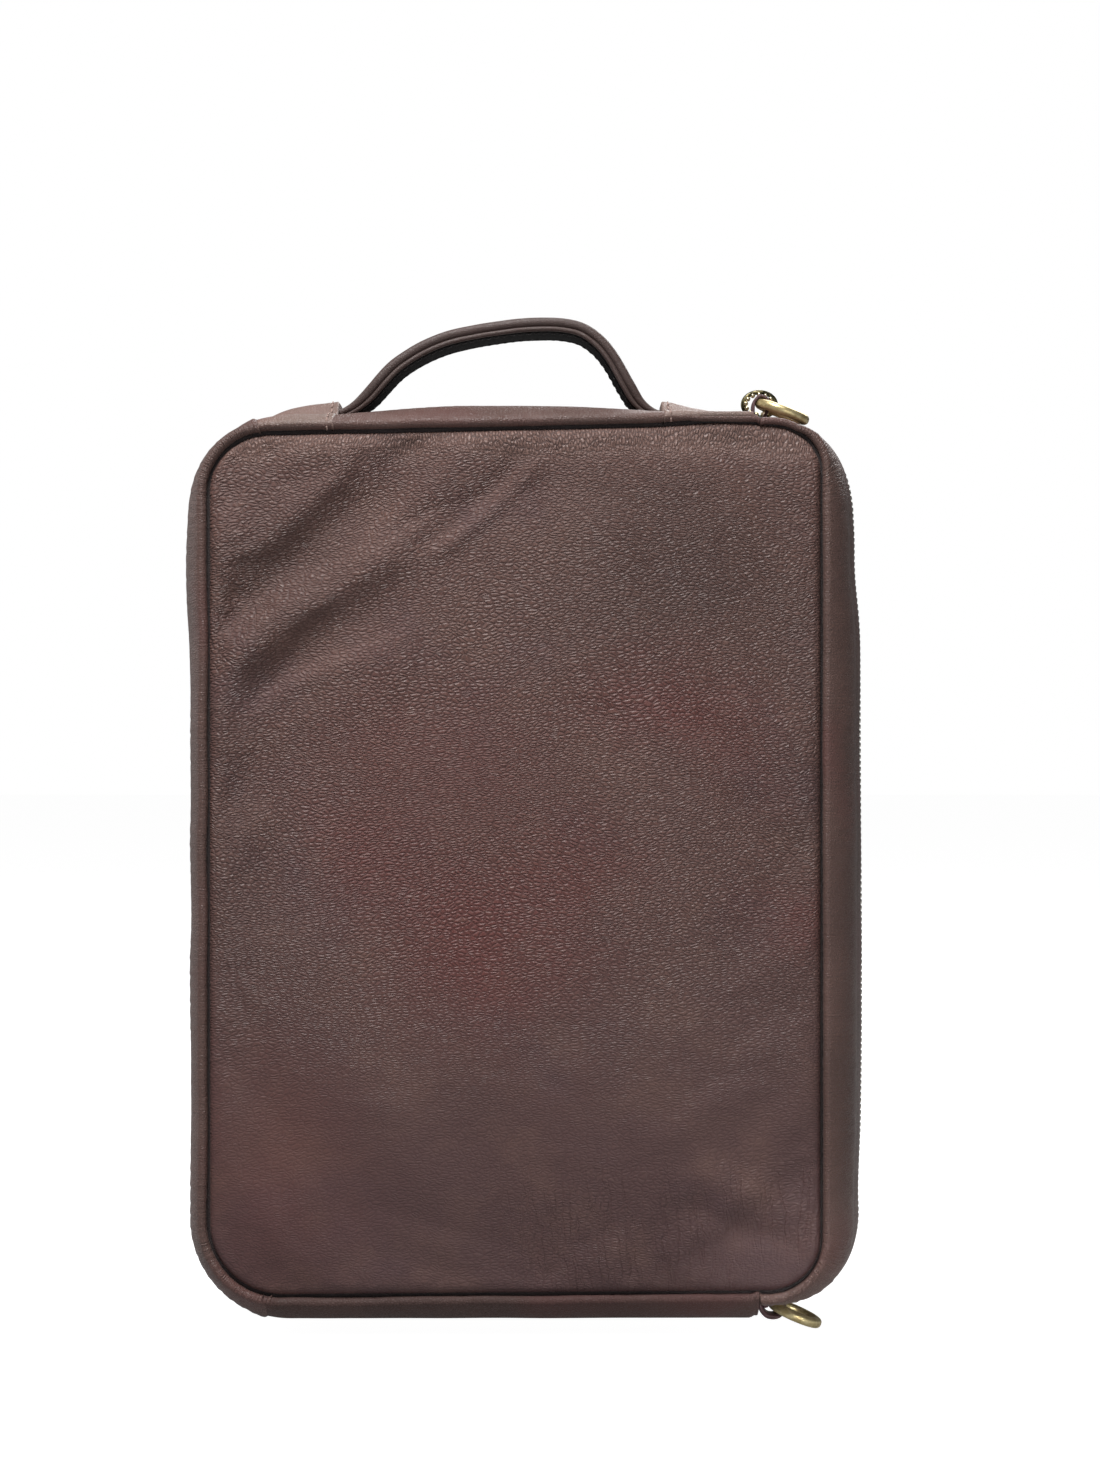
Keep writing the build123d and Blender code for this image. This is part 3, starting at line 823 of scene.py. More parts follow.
def wall_surface(name, x, z, rim, folds, seed):
    """How far each point of a wall stands out from the middle of the bag."""
    rows, cols = x.shape
    depth = np.clip(rim / ROLL_R, 0, 1)
    roll = ROLL_R * (1 - np.sqrt(np.clip(1 - (1 - depth) ** 2, 0, 1)))
    crown = CROWN * smooth(rim / CROWN_REACH)
    droop = TOP_DROOP * smooth((z - (WALL_TOP - TOP_DROOP_REACH)) / TOP_DROOP_REACH) ** 1.5
    droop += LOW_DROOP * smooth((WALL_LOW + LOW_DROOP_REACH - z) / LOW_DROOP_REACH) ** 1.5
    out = HALF_D + WALL_PROUD - roll * ROLL_SHARE + crown - droop
    coarse = (slice(None, None, CLOTH_EVERY), slice(None, None, CLOTH_EVERY))
    moved = drape(name + "_sheet", x[coarse], z[coarse])
    lift = refine(moved[..., 1], rows, cols)
    soft = smooth((40.0 - x) / 110.0) * smooth((z - 130.0) / 110.0)
    out = out + lift * (CLOTH_SHARE + SOFT_SHARE * soft)
    flat = np.stack([x.ravel(), z.ravel() * 0, z.ravel()], axis=-1)
    broad = fbm(flat, 70.0, 2, seed).reshape(rows, cols)
    fine = fbm(flat, 11.0, 2, seed + 9).reshape(rows, cols)
    out += smooth(rim / 10.0) * (0.9 * broad + 0.12 * fine + folds(x, z))
    around = np.arctan2(z - (WALL_TOP + WALL_LOW) / 2, x)
    out += 0.10 * np.sin(around * 170 + 6 * broad) * bell(rim, 5.0, 4.0)
    return out


def wall(name, side, folds, dye, shade, creases, seed):
    """One padded leather wall: crowned, drawn into its seam, with folds and small puckers at the edge."""
    x, z, rim = wall_grid(WALL_STEP)
    rows, cols = x.shape
    front = np.stack([x, side * wall_surface(name, x, z, rim, folds, seed), z], axis=-1)
    edge_index = boundary(rows, cols)
    vertices = front.reshape(-1, 3)
    skirt = vertices[edge_index]
    skirt[:, 1] = side * (HALF_D - WALL_SKIRT)
    faces = grid_faces(rows, cols, False)
    first = len(vertices)
    count = len(edge_index)
    for k in range(count):
        ahead = (k + 1) % count
        faces.append((edge_index[k], edge_index[ahead], first + ahead, first + k))
    faces.append(tuple(first + k for k in range(count)))
    obj = new_object(name, np.vstack([vertices, skirt]), faces)
    fix_normals(obj)
    paint_wall(obj, dye, shade, creases, seed)
    return obj


def boundary(rows, cols):
    """Indices round the edge of a grid, in order."""
    low = list(range(cols))
    right = [i * cols + cols - 1 for i in range(1, rows)]
    high = [(rows - 1) * cols + j for j in range(cols - 2, -1, -1)]
    left = [i * cols for i in range(rows - 2, 0, -1)]
    return np.array(low + right + high + left)


SEAM_STATIONS = 420
SEAM_SIDES = 10
SEAM_BED_R = 2.2
SEAM_BED_RISE = 1.6
SEAM_DEPTH = 4.3


def seam_bed(name, side):
    """The turned leather edges at the bottom of the seam between a wall and its strips, coloured near-black
    as painted shade in the seam's recess.
    """
    points, normals = WALL.sample(0, WALL.length * (1 - 1 / SEAM_STATIONS), SEAM_STATIONS)
    points = lean(points)
    angle = np.arange(SEAM_SIDES) * 2 * math.pi / SEAM_SIDES
    out = SEAM_WIDTH / 2 + SEAM_BED_R * np.cos(angle)
    y = side * (HALF_D - SEAM_DEPTH + SEAM_BED_RISE * np.sin(angle))
    grid = np.array([section_row(point, normal, out, y) for point, normal in zip(points, normals)])
    return tube_object(name, grid, closed_path=True)


# ---------------------------------------------------------------- gusset strips


def shoulder(inset):
    """Section from inside the seam, over the rolled lip and round the shoulder, as (outward, from middle)."""
    lip_r = float(np.clip(inset / 2, THIN_LIP_R, LIP_R))
    cosine = float(np.clip((SHOULDER_R + lip_r - inset) / (SHOULDER_R - lip_r), 0.03, 0.9995))
    turn = math.acos(cosine)
    flat = HALF_D - lip_r - (SHOULDER_R - lip_r) * math.sin(turn)
    lip = (-SHOULDER_R + (SHOULDER_R - lip_r) * cosine, HALF_D - lip_r)
    points = [(lip[0] - lip_r, lip[1] - 3.6)]
    for angle in np.linspace(math.pi, turn, 9):
        points.append((lip[0] + lip_r * math.cos(angle), lip[1] + lip_r * math.sin(angle)))
    for angle in np.linspace(turn, 0, 12)[1:]:
        points.append((-SHOULDER_R + SHOULDER_R * math.cos(angle), flat + SHOULDER_R * math.sin(angle)))
    inner = []
    for angle in np.linspace(0, turn, 6):
        reach = SHOULDER_R - STRIP_T
        inner.append((-SHOULDER_R + reach * math.cos(angle), flat + reach * math.sin(angle)))
    return points, inner, flat


def full_section(inset, dome):
    """Closed section of a strip that runs from the front seam to the back seam."""
    outer, inner, flat = shoulder(inset)
    front = [(u, -y) for u, y in outer]
    middle = [(dome * (1 - (y / flat) ** 2), y) for y in np.linspace(-flat, flat, 15)[1:-1]]
    back = [(u, y) for u, y in reversed(outer)]
    under = [(u, y) for u, y in reversed(inner)] + [(u, -y) for u, y in inner]
    return np.array(front + middle + back + under), len(front) + len(middle) + len(back)


def edge_section(inset, side, edge_y, sink, rise):
    """Closed section of a strip between one seam and the folded edge beside the zip, which it rises to."""
    sink = min(sink, max(inset - 2.0, 0.0))
    outer, inner, flat = shoulder(inset - sink)
    fold_r = STRIP_T / 2
    reach = side * edge_y
    climb = max(flat - reach - fold_r, 1e-6)
    points = [(u - sink, side * y) for u, y in outer]
    for y in np.linspace(flat, reach + fold_r, 9)[1:]:
        share = (flat - y) / climb
        points.append((-sink + (sink + rise) * math.sin(share * math.pi / 2), side * y))
    tip = points[-1][0]
    for angle in np.linspace(math.pi / 2, -math.pi / 2, 7)[1:]:
        fold_y = reach + fold_r - fold_r * math.cos(angle)
        points.append((tip - fold_r + fold_r * math.sin(angle), side * fold_y))
    count = len(points)
    points.append((tip - STRIP_T - 0.3, side * (reach + 5.0)))
    points += [(u - sink, side * y) for u, y in inner]
    return np.array(points), count


END_STATIONS = np.array([0.0, 0.12, 0.35, 0.7, 1.2, 1.8, 2.5, 3.2])


def strip(name, loop, first, last, section, shape, lift, step=1.5, end_round=(1.0, 1.0)):
    """A leather strip along part of a loop. shape moves its outside; lift raises or lowers whole stations."""
    along = np.linspace(first, last, int((last - first) / step))
    along = np.unique(np.concatenate([along, first + END_STATIONS, last - END_STATIONS]))
    pairs = [loop.at(s) for s in along]
    points = np.array([p for p, _ in pairs])
    normals = np.array([n for _, n in pairs])
    insets = wall_inset(points, normals, SEAM_WIDTH)
    rows = []
    for i, s in enumerate(along):
        raised = lift(points[i], s) if lift else 0.0
        profile, outside = section(insets[i] + raised)
        u = profile[:, 0] + raised
        for distance, radius in ((s - first, end_round[0]), (last - s, end_round[1])):
            if distance < radius:
                drop = radius - math.sqrt(radius ** 2 - (radius - distance) ** 2)
                u[:outside] -= min(drop, STRIP_T * 0.45)
        rows.append(section_row(points[i], normals[i], u, profile[:, 1]))
    grid = np.array(rows)
    shape(grid, along, normals, outside)
    piece = tube_object(name, grid)
    bent = np.abs(normals[:, 0] * normals[:, 1]) * 2.0
    near_seam = smooth((np.abs(grid[:, :, 1]) - 13.0) / 12.0)
    paint(piece, "along", np.repeat(along, grid.shape[1]))
    paint(piece, "pucker", (near_seam * (0.35 + 0.65 * smooth(bent * 2.0))[:, None]).ravel())
    return piece


def leather_shape(amount, wrinkle, seed):
    """Uneven padding and short wrinkles across a strip, strongest next to the seams."""
    def apply(grid, along, normals, outside):
        rows = len(along)
        flat = grid[:, :outside].reshape(-1, 3)
        broad = fbm(flat, 34.0, 2, seed).reshape(rows, outside)
        y = np.abs(grid[:, :outside, 1])
        seam = smooth((y - 12.0) / 16.0) * smooth((HALF_D - 0.8 - y) / 3.0)
        wave = np.sin(along[:, None] * 1.15 + 2.6 * broad + 0.12 * y)
        wave += 0.6 * np.sin(along[:, None] * 2.3 + 4 * broad)
        patches = smooth((broad + 0.15) / 0.5)
        move = amount * broad + wrinkle * wave * seam * (0.35 + patches)
        ends = np.minimum(smooth((along - along[0]) / 3.0), smooth((along[-1] - along) / 3.0))
        move_out(grid, outside, move * ends[:, None], normals)
    return apply


TOP_CREST_X = -7.0
TOP_RISE = 2.4             # the middle of the top strip stands this far above its ends
TOP_FALL = 0.001
TOP_SINK = -2.8


def top_bow(point, s):
    """The top strip is arched between the anchors and pulled down under them."""
    x, z = point
    if z < TOP - CORNER_R or x > ZIP_START_X + 1:
        return 0.0
    arch = max(TOP_SINK, TOP_RISE - TOP_FALL * (x - TOP_CREST_X) ** 2)
    return arch * float(smooth((x - (LEFT + 5)) / 17.0))


def spine_lift(point, s):
    """The spine's upper end lies over the anchor band and its lower end over the base strip."""
    _, z = point
    bulge = 1.5 * float(bell(z, 290.0, 26.0)) - 0.5 * float(smooth((270.0 - z) / 40.0))
    if z < TOP / 2:
        return bulge * float(smooth(z / 50.0)) + 0.9 * float(smooth(1 - (s - LOW_LAP) / 9.0))
    return top_bow(point, s) + 2.7 * float(smooth(1 - (TOP_LAP - s) / 14.0)) + bulge


def body_strips():
    def body_section(inset):
        return full_section(inset, STRIP_DOME)

    def base_section(inset):
        return full_section(inset, 0.0)

    spine_shape = leather_shape(0.5, 0.10, 3.0)
    top_shape = leather_shape(0.35, 0.05, 11.0)
    top_first = TOP_LAP - BODY.length - 4
    for name, first, last, section, shape, end_round, lift, material in (
        ("spine", LOW_LAP - 0.5, TOP_LAP + 0.5, body_section, spine_shape, (1.6, 1.8), spine_lift, MAT_STRIP),
        ("top", top_first, TOP_END, body_section, top_shape, (1.0, 2.0), top_bow, MAT_STRIP),
        ("base", LOW_END, LOW_LAP + 4, base_section, base_shape, (3.6, 1.0), None, MAT_BASE),
    ):
        piece = strip(f"{name}_strip", BODY, first, last, section, shape, lift, end_round=end_round)
        place(piece, "bag", "strip_leather", material, f"{name}_gusset")


def zip_strips():
    for name, side, edge in (("front", -1, SLOT_FRONT_Y), ("back", 1, SLOT_BACK_Y)):
        def section(inset):
            return edge_section(inset, side, edge, ZIP_SHOULDER_SINK, ZIP_EDGE_RISE)

        shape = leather_shape(0.35, 0.16, 21.0 + side)
        piece = strip(f"zip_strip_{name}", ZIP, ZIP_FIRST, ZIP_LAST, section, shape, zip_side_pinch)
        place(piece, "bag", "strip_leather", MAT_STRIP, f"zip_gusset_{name}")


def base_shape(grid, along, normals, outside):
    """Padding on the base's shoulders only, because its flat middle stands on the floor."""
    flat = grid[:, :outside].reshape(-1, 3)
    broad = fbm(flat, 30.0, 2, 5.0).reshape(len(along), outside)
    y = np.abs(grid[:, :outside, 1])
    move = 0.4 * broad * smooth((y - 18.0) / 8.0)
    grid[:, :outside, 2] += move * normals[:, 1][:, None]


def zip_side_pinch(point, s):
    """The upper zip corner is drawn in a little below its bend, and the side swells below it."""
    x, z = point
    if x < RIGHT - ZIP_CORNER_R:
        return 0.0
    low_corner = 1.3 * float(bell(z, 8.0, 18.0)) * float(smooth((x - (RIGHT - ZIP_CORNER_R)) / 20.0))
    high_corner = -2.8 * float(bell(z, TOP - 31.0, 18.0)) - 2.0 * float(bell(z, TOP - 60.0, 17.0))
    return high_corner + low_corner + 0.6 * float(bell(z, 130.0, 70.0)) - 1.0 * float(bell(z, 46.0, 20.0))


def body_position(x):
    """Distance along the body's loop of a place on its top edge; negative on the left corner."""
    start = LEFT + CORNER_R
    if x >= start:
        return x - start
    return -CORNER_R * math.asin((start - x) / CORNER_R)


ANCHOR_LIFT = 1.2
ANCHOR_CLEAR = 0.3          # the band ends this much further from the wall than the strip below it
TUNNEL_HALF = 14.5          # half width of the swelling over the handle's end
TUNNEL_LENGTH = 34.0
STITCH_INSET = 2.6          # from the band's open end to its row of stitches


def anchor_section(inset):
    return full_section(inset - ANCHOR_CLEAR, STRIP_DOME)


def anchor(name, span, handle_end, swell, node):
    """A leather band over the top strip; it swells over the end of the handle that it holds."""
    start = body_position(span[0])
    stop = body_position(span[1])
    near = stop if handle_end > 0 else start

    def lift(point, s):
        return top_bow(point, s) + ANCHOR_LIFT

    def tunnel(grid, along, normals, outside):
        y = np.abs(grid[:, :outside, 1])
        close = np.abs(along - near)[:, None]
        rise = swell * smooth((TUNNEL_HALF - y) / 8.0) * smooth(1.1 - close / TUNNEL_LENGTH) ** 0.8
        flat = grid[:, :outside].reshape(-1, 3)
        uneven = fbm(flat, 16.0, 2, 31.0 + handle_end).reshape(y.shape) * 0.25
        groove = 0.22 * bell(close, STITCH_INSET, 0.7) * smooth((HALF_D - 2 - y) / 2)
        move_out(grid, outside, rise + uneven - groove, normals)

    piece = strip(name, BODY, start, stop, anchor_section, tunnel, lift, step=0.9, end_round=(0.9, 0.9))
    place(piece, "bag", "strip_leather", MAT_ANCHOR, node)
    anchor_stitches(f"{name}_stitches", near - handle_end * STITCH_INSET, tunnel, lift)


def anchor_stitches(name, at, tunnel, lift):
    """The row of stitches beside an anchor's open end, laid on the same surface as the anchor."""
    point, normal = BODY.at(at)
    inset = wall_inset(np.array([point]), np.array([normal]), SEAM_WIDTH)[0]
    raised = lift(point, at)
    profile, outside = anchor_section(inset + raised)
    grid = section_row(point, normal, profile[:, 0] + raised, profile[:, 1])[None]
    tunnel(grid, np.array([at]), np.array([normal]), outside)
    surface = grid[0, :outside]
    surface = surface[np.abs(surface[:, 1]) < HALF_D - 0.6]
    line = []
    for k, place_at in enumerate(surface):
        before = surface[max(k - 1, 0)]
        after = surface[min(k + 1, len(surface) - 1)]
        tangent = after - before
        outward = np.cross((1.0, 0.0, 0.0), tangent)
        outward *= np.sign(outward @ np.array((0.0, place_at[1] * 0.02, 1.0)))
        line.append((place_at, outward))
    row = stitch_row(name, line, 2.1, 0.38, sink=0.1)
    place(row, "bag", "strip_leather", MAT_THREAD)


# ---------------------------------------------------------------- handle

HANDLE_STEP = 1.0
HANDLE_STITCH_Y = 7.6
# the handle's middle line, from where it enters the left anchor to where it enters the right one
HANDLE_PATH = (
    (-80.0, 351.4), (-73.5, 352.4), (-67.8, 354.9), (-62.5, 359.0), (-49.5, 372.4), (-32.5, 381.3),
    (-9.0, 386.2), (5.0, 387.4), (15.5, 387.0), (22.8, 385.1), (29.3, 380.4), (34.0, 374.6),
    (39.8, 364.4), (44.6, 357.0), (49.8, 353.3), (54.0, 352.1), (60.0, 351.0),
)


def smooth_path(points, step):
    """Evenly spaced points on a smooth curve through the given ones."""
    knots = np.array(points, float)
    gaps = np.sqrt(np.linalg.norm(np.diff(knots, axis=0), axis=1))
    times = np.concatenate([[0], np.cumsum(gaps)])
    slopes = np.gradient(knots, times, axis=0, edge_order=1)
    fine = np.linspace(0, times[-1], 2000)
    index = np.clip(np.searchsorted(times, fine) - 1, 0, len(times) - 2)
    width = (times[index + 1] - times[index])[:, None]
    t = ((fine - times[index]) / width[:, 0])[:, None]
    curve = ((2 * t ** 3 - 3 * t ** 2 + 1) * knots[index] + (t ** 3 - 2 * t ** 2 + t) * width * slopes[index]
             + (3 * t ** 2 - 2 * t ** 3) * knots[index + 1] + (t ** 3 - t ** 2) * width * slopes[index + 1])
    length = lengths_along(curve)
    even = np.linspace(0, length[-1], max(2, int(length[-1] / step)) + 1)
    return np.stack([np.interp(even, length, curve[:, k]) for k in range(curve.shape[1])], axis=1)


def lengths_along(path):
    """Distance from the start of a path to each of its points."""
    return np.concatenate([[0], np.cumsum(np.linalg.norm(np.diff(path, axis=0), axis=1))])


def path_normals(path):
    """Unit normal to the left of a path in the X-Z plane at each of its points."""
    tangent = np.gradient(path, axis=0)
    tangent /= np.linalg.norm(tangent, axis=1)[:, None]
    return np.stack([-tangent[:, 1], tangent[:, 0]], axis=1)


def handle_frame():
    centre = smooth_path(HANDLE_PATH, HANDLE_STEP)
    length = lengths_along(centre)
    from_end = np.minimum(length, length[-1] - length)
    width = 0.72 + 0.28 * smooth((from_end - 6.0) / 24.0)
    thick = 0.60 + 0.40 * smooth((from_end - 5.0) / 18.0)
    return centre, path_normals(centre), width, thick


def arc_points(centre, radius, first, last, count):
    cy, cu = centre
    return [(cy + radius * math.cos(math.radians(a)), cu + radius * math.sin(math.radians(a)))
            for a in np.linspace(first, last, count)]


def handle_leather_section():
    """Domed top, a thick rolled edge, a stitched-down groove and a thin turned edge below it."""
    right = [(0.0, 2.95), (2.2, 2.93), (4.4, 2.86), (6.4, 2.72), (8.0, 2.55)]
    right += arc_points((10.0, 0.75), 1.95, 72, -48, 9)
    right += arc_points((11.35, -1.02), 0.5, 150, 205, 3)[:2]
    right += arc_points((10.95, -1.95), 0.95, 55, -90, 7)
    right += [(9.6, -2.75), (6.0, -2.3), (3.0, -2.2)]
    left = [(-y, u) for y, u in reversed(right[1:])]
    return right + [(0.0, -2.2)] + left


def sweep_handle(section, centre, normal, width, thick):
    section = np.array(section)
    return np.array([
        section_row(centre[i], normal[i], section[:, 1] * thick[i], section[:, 0] * width[i])
        for i in range(len(centre))
    ])


def handle_piece(obj, slot, material, *nodes):
    """The lowest part of the handle stays in its anchors; each piece gets its material, hides the CAD nodes
    it stands for and has its transform baked into its mesh, on no moving body.
    """
    place(obj, None, slot, material, *nodes)
    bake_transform(obj)


def handle_pieces():
    shape = handle_frame()
    grid = sweep_handle(handle_leather_section(), *shape)
    uneven = fbm(grid.reshape(-1, 3), 14.0, 2, 41.0).reshape(grid.shape[:2])
    move_out(grid, grid.shape[1], 0.16 * uneven, shape[1])
    grid[:, :, 1] += 0.12 * uneven
    top = tube_object("handle_top", grid)
    handle_piece(top, "strip_leather", MAT_HANDLE, "handle_leather", "handle_core")

    part = tuple(values[7:-9] for values in shape)
    under = [(-10.3, -2.5)] + [(y, -3.15 - 0.12 * math.cos(y * 0.3)) for y in np.linspace(-9.8, 9.8, 15)]
    under += [(10.3, -2.5), (8.0, -2.0), (-8.0, -2.0)]
    lining = tube_object("handle_underside", sweep_handle(under, *part))
    handle_piece(lining, "black_lining", MAT_LINING, "handle_lining")

    centre, normal, width, thick = part
    for side, label in ((-1, "front"), (1, "back")):
        line = []
        for i in range(2, len(centre) - 2):
            spot = section_row(centre[i], normal[i], -3.2 * thick[i], side * HANDLE_STITCH_Y * width[i])
            line.append((spot, np.array((-normal[i, 0], 0.0, -normal[i, 1]))))
        row = stitch_row(f"handle_stitches_{label}", line, 2.2, 0.3, sink=0.3)
        handle_piece(row, "black_lining", MAT_BLACK_THREAD)


# ---------------------------------------------------------------- rings and tabs

RING_R = 9.0
RING_WIRE_R = 2.05
RING_STATIONS = 88
RING_SIDES = 22
RING_SQUARE = 0.86          # below 1 the wire's section is squarer than a circle
RING_FLAT = 0.96
RING_WEAR = 0.025
TAB_STEP = 0.45
RING_Y = (cad_box("top_strap_ring")[0][1] + cad_box("top_strap_ring")[1][1]) / 2
TAB_HALF = 3.4


def ring_mesh(pivot, tilt, lean):
    """A round ring of slightly flattened, hand-worn wire, hanging from its pivot."""
    grid = np.zeros((RING_STATIONS, RING_SIDES, 3))
    for i in range(RING_STATIONS):
        turn = 2 * math.pi * i / RING_STATIONS
        for j in range(RING_SIDES):
            angle = 2 * math.pi * j / RING_SIDES
            c, s = math.cos(angle), math.sin(angle)
            reach = RING_R + RING_WIRE_R * math.copysign(abs(c) ** RING_SQUARE, c)
            thick = RING_WIRE_R * RING_FLAT * math.copysign(abs(s) ** RING_SQUARE, s)
            down = RING_R - reach * math.cos(turn)
            side = reach * math.sin(turn)
            across = side * math.cos(lean) - thick * math.sin(lean)
            up = side * math.sin(lean) + thick * math.cos(lean)
            grid[i, j] = (
                pivot[0] + down * math.cos(tilt) + up * math.sin(tilt),
                RING_Y + across,
                pivot[1] - down * math.sin(tilt) + up * math.cos(tilt),
            )
    return grid


def strap_ring(name, pivot, tilt, lean, node, body):
    grid = ring_mesh(pivot, math.radians(tilt), math.radians(lean))
    wear = fbm(grid.reshape(-1, 3), 5.0, 3, 51.0).reshape(grid.shape[:2])
    middle = grid.mean(axis=1, keepdims=True)
    grid = middle + (grid - middle) * (1 + RING_WEAR * wear[..., None])
    piece = tube_object(name, grid, closed_path=True)
    place(piece, body, "ring_brass", MAT_RING, node)


def strap_tab(name, path, node, thick=0.6):
    """A narrow folded leather strap: its outer skin, its turned edges and a soft twist in its width."""
    line = smooth_path(path, TAB_STEP)
    normal = path_normals(line)
    edge_y = TAB_HALF - 0.55
    section = arc_points((edge_y, 0), thick, 90, -90, 6) + arc_points((-edge_y, 0), thick, 270, 90, 6)
    section.insert(6, (0.0, -1.1 * thick))
    section.append((0.0, 1.1 * thick))
    section = np.array(section)
    rows = []
    for i in range(len(line)):
        y = RING_Y + section[:, 0] * (1 + 0.03 * math.sin(i * 0.3))
        rows.append(section_row(line[i], normal[i], section[:, 1], y))
    place(tube_object(name, np.array(rows)), "bag", "strip_leather", MAT_TAB, node)


# ---------------------------------------------------------------- zip

ZIP_RAISE = 2.4             # the teeth stand this far above the outline of the zip's strips
ZIP_EDGE_RISE = 2.2         # the strips' folded edges rise with them
ZIP_SHOULDER_SINK = 1.3     # and their shoulders lie lower, so that the zip stands proud
TOOTH_PITCH = 2.4
SLIDER_DOME = 0.2


def zip_height(s):
    """How far the zip line stands above the leather strips' own outline."""
    ends = min(s - ZIP_FIRST, ZIP_LAST - s)
    return ZIP_RAISE * (0.55 + 0.45 * float(smooth(ends / 8.0)))


def zip_point(s, y, u):
    """A point beside the zip line, at a height above the strips' outline."""
    point, normal = ZIP.at(s)
    return section_row(point, normal, u + zip_side_pinch(point, s), y)


def zip_tape(name, side, edge_y, node):
    """Woven tape from under the folded leather edge to the roots of the teeth."""
    along = np.arange(ZIP_FIRST, ZIP_LAST, 1.5)
    far = edge_y + side * 3.2
    near = ZIP_Y + side * 0.5
    half_way = (far + near) / 2
    section = [(far, -2.0), (half_way, -1.1), (near, -0.5), (near, -1.2), (half_way, -1.8), (far, -2.6)]
    grid = np.array([[zip_point(s, y, zip_height(s) + u) for y, u in section] for s in along])
    place(tube_object(name, grid), "bag", "tape", MAT_TAPE, node)


def rounded_block(centre, axes, sizes, power=3.2, rings=5, sides=10):
    """A small block with generously rounded edges, as stamped metal has."""
    vertices = []
    for i in range(rings + 1):
        lat = -math.pi / 2 + math.pi * i / rings
        for j in range(sides):
            lon = 2 * math.pi * (j + 0.5) / sides
            raw = (math.cos(lat) * math.cos(lon), math.cos(lat) * math.sin(lon), math.sin(lat))
            size = sum(abs(r) ** power for r in raw) ** (1 / power)
            offset = sum(axis * r / size * half for axis, r, half in zip(axes, raw, sizes))
            vertices.append(centre + offset)
    return vertices, tube_faces(rings + 1, sides)


def zip_axes(s):
    """Directions across the bag, along the zip and out of it."""
    _, normal = ZIP.at(s)
    out = np.array((normal[0], 0.0, normal[1]))
    across = np.array((0.0, 1.0, 0.0))
    along = np.array((normal[1], 0.0, -normal[0]))
    return across, along, out


def zip_teeth(name, side, node):
    """Separate cast teeth: a body that grips the tape and a narrower head that meshes with the other row."""
    first = ZIP_FIRST + 2.4 + TOOTH_PITCH / 4 * (1 + side)
    pieces = []
    for s in np.arange(first, ZIP_LAST - 2.0, TOOTH_PITCH):
        axes = zip_axes(s)
        body = zip_point(s, ZIP_Y + side * 2.0, zip_height(s) - 0.1)
        head = zip_point(s, ZIP_Y + side * 0.75, zip_height(s) + 0.05)
        pieces.append(rounded_block(body, axes, (1.15, 1.2, 1.05), power=6.0))
        pieces.append(rounded_block(head, axes, (0.85, 0.62, 0.75), power=2.4, rings=4, sides=8))
    place(joined(name, pieces), "bag", "zip_metal", MAT_TEETH, node)


def zip_end_stops():
    pieces = []
    for s, y in ((ZIP_FIRST + 0.9, -2.0), (ZIP_FIRST + 0.9, 2.0), (ZIP_LAST - 1.0, 0.0)):
        half = 1.1 if y else 3.0
        centre = zip_point(s, ZIP_Y + y, zip_height(s))
        pieces.append(rounded_block(centre, zip_axes(s), (half, 0.7, 1.1)))
    place(joined("zip_end_stops", pieces), "bag", "zip_metal", MAT_TEETH, "zip_stops")


def slider_plate(middle_x, half_l, bottom, top, narrow):
    """A shield-shaped plate of the slider, thinner at its edges and slightly domed."""
    rows, cols = 15, 15
    upper, under = [], []
    for i in range(rows):
        t = -1 + 2 * i / (rows - 1)
        half_w = narrow * (4.7 - 1.5 * float(smooth((t - 0.1) / 0.9))) * (1 - abs(t) ** 6) ** (1 / 3)
        half_w = max(half_w, 0.35)
        for j in range(cols):
            v = -1 + 2 * j / (cols - 1)
            edge = (1 - abs(v) ** 4) ** 0.5 * (1 - abs(t) ** 8) ** 0.5
            x = middle_x + t * half_l
            y = ZIP_Y + v * half_w
            thick = (top - bottom) * (0.45 + 0.55 * edge)
            middle = (top + bottom) / 2
            upper.append((x, y, middle + thick / 2 + SLIDER_DOME * (1 - v * v)))
            under.append((x, y, middle - thick / 2))
    count = len(upper)
    faces = grid_faces(rows, cols, False)
    faces += [tuple(reversed([count + k for k in face])) for face in faces]
    ring = boundary(rows, cols)
    for a, b in zip(ring, np.roll(ring, -1)):
        faces.append((int(a), int(count + a), int(count + b), int(b)))
    return upper + under, faces


def slider_piece():
    """The slider: a shield-shaped cap with turned-down flanges, a lower plate and an arched bail."""
    low, high = cad_box("zip_slider")
    middle_x = (low[0] + high[0]) / 2
    half_l = (high[0] - low[0]) / 2
    base = ZIP_TOP + zip_height(ZIP_FIRST + (middle_x - ZIP_START_X))
    bail_x = middle_x - 2.0
    pieces = [
        slider_plate(middle_x, half_l, base + 1.25, base + 2.1, 1.0),
        slider_plate(middle_x, half_l, base - 2.7, base - 1.75, 0.92),
    ]

    def block(x, y, height, sizes, **form):
        pieces.append(rounded_block(np.array((x, ZIP_Y + y, base + height)), np.eye(3), sizes, **form))

    for side in (-1, 1):
        block(middle_x - 0.6, side * 3.95, 0.95, (3.1, 0.45, 0.95), power=4.0)
    block(middle_x + 2.4, 0.0, 0.0, (0.5, 0.35, 2.2))
    pieces.append(wire([(bail_x, ZIP_Y + 2.3 * math.cos(a), base + 2.2 + 2.5 * math.sin(a) ** 0.8)
                        for a in np.linspace(0.02, math.pi - 0.02, 19)], 0.62))
    for side in (-1, 1):
        block(bail_x, side * 2.35, 2.6, (1.05, 0.95, 0.95), power=2.0, rings=8, sides=12)
    place(joined("slider_body", pieces), "slider", "antique_metal", MAT_SLIDER, "zip_slider")
    return bail_x, base


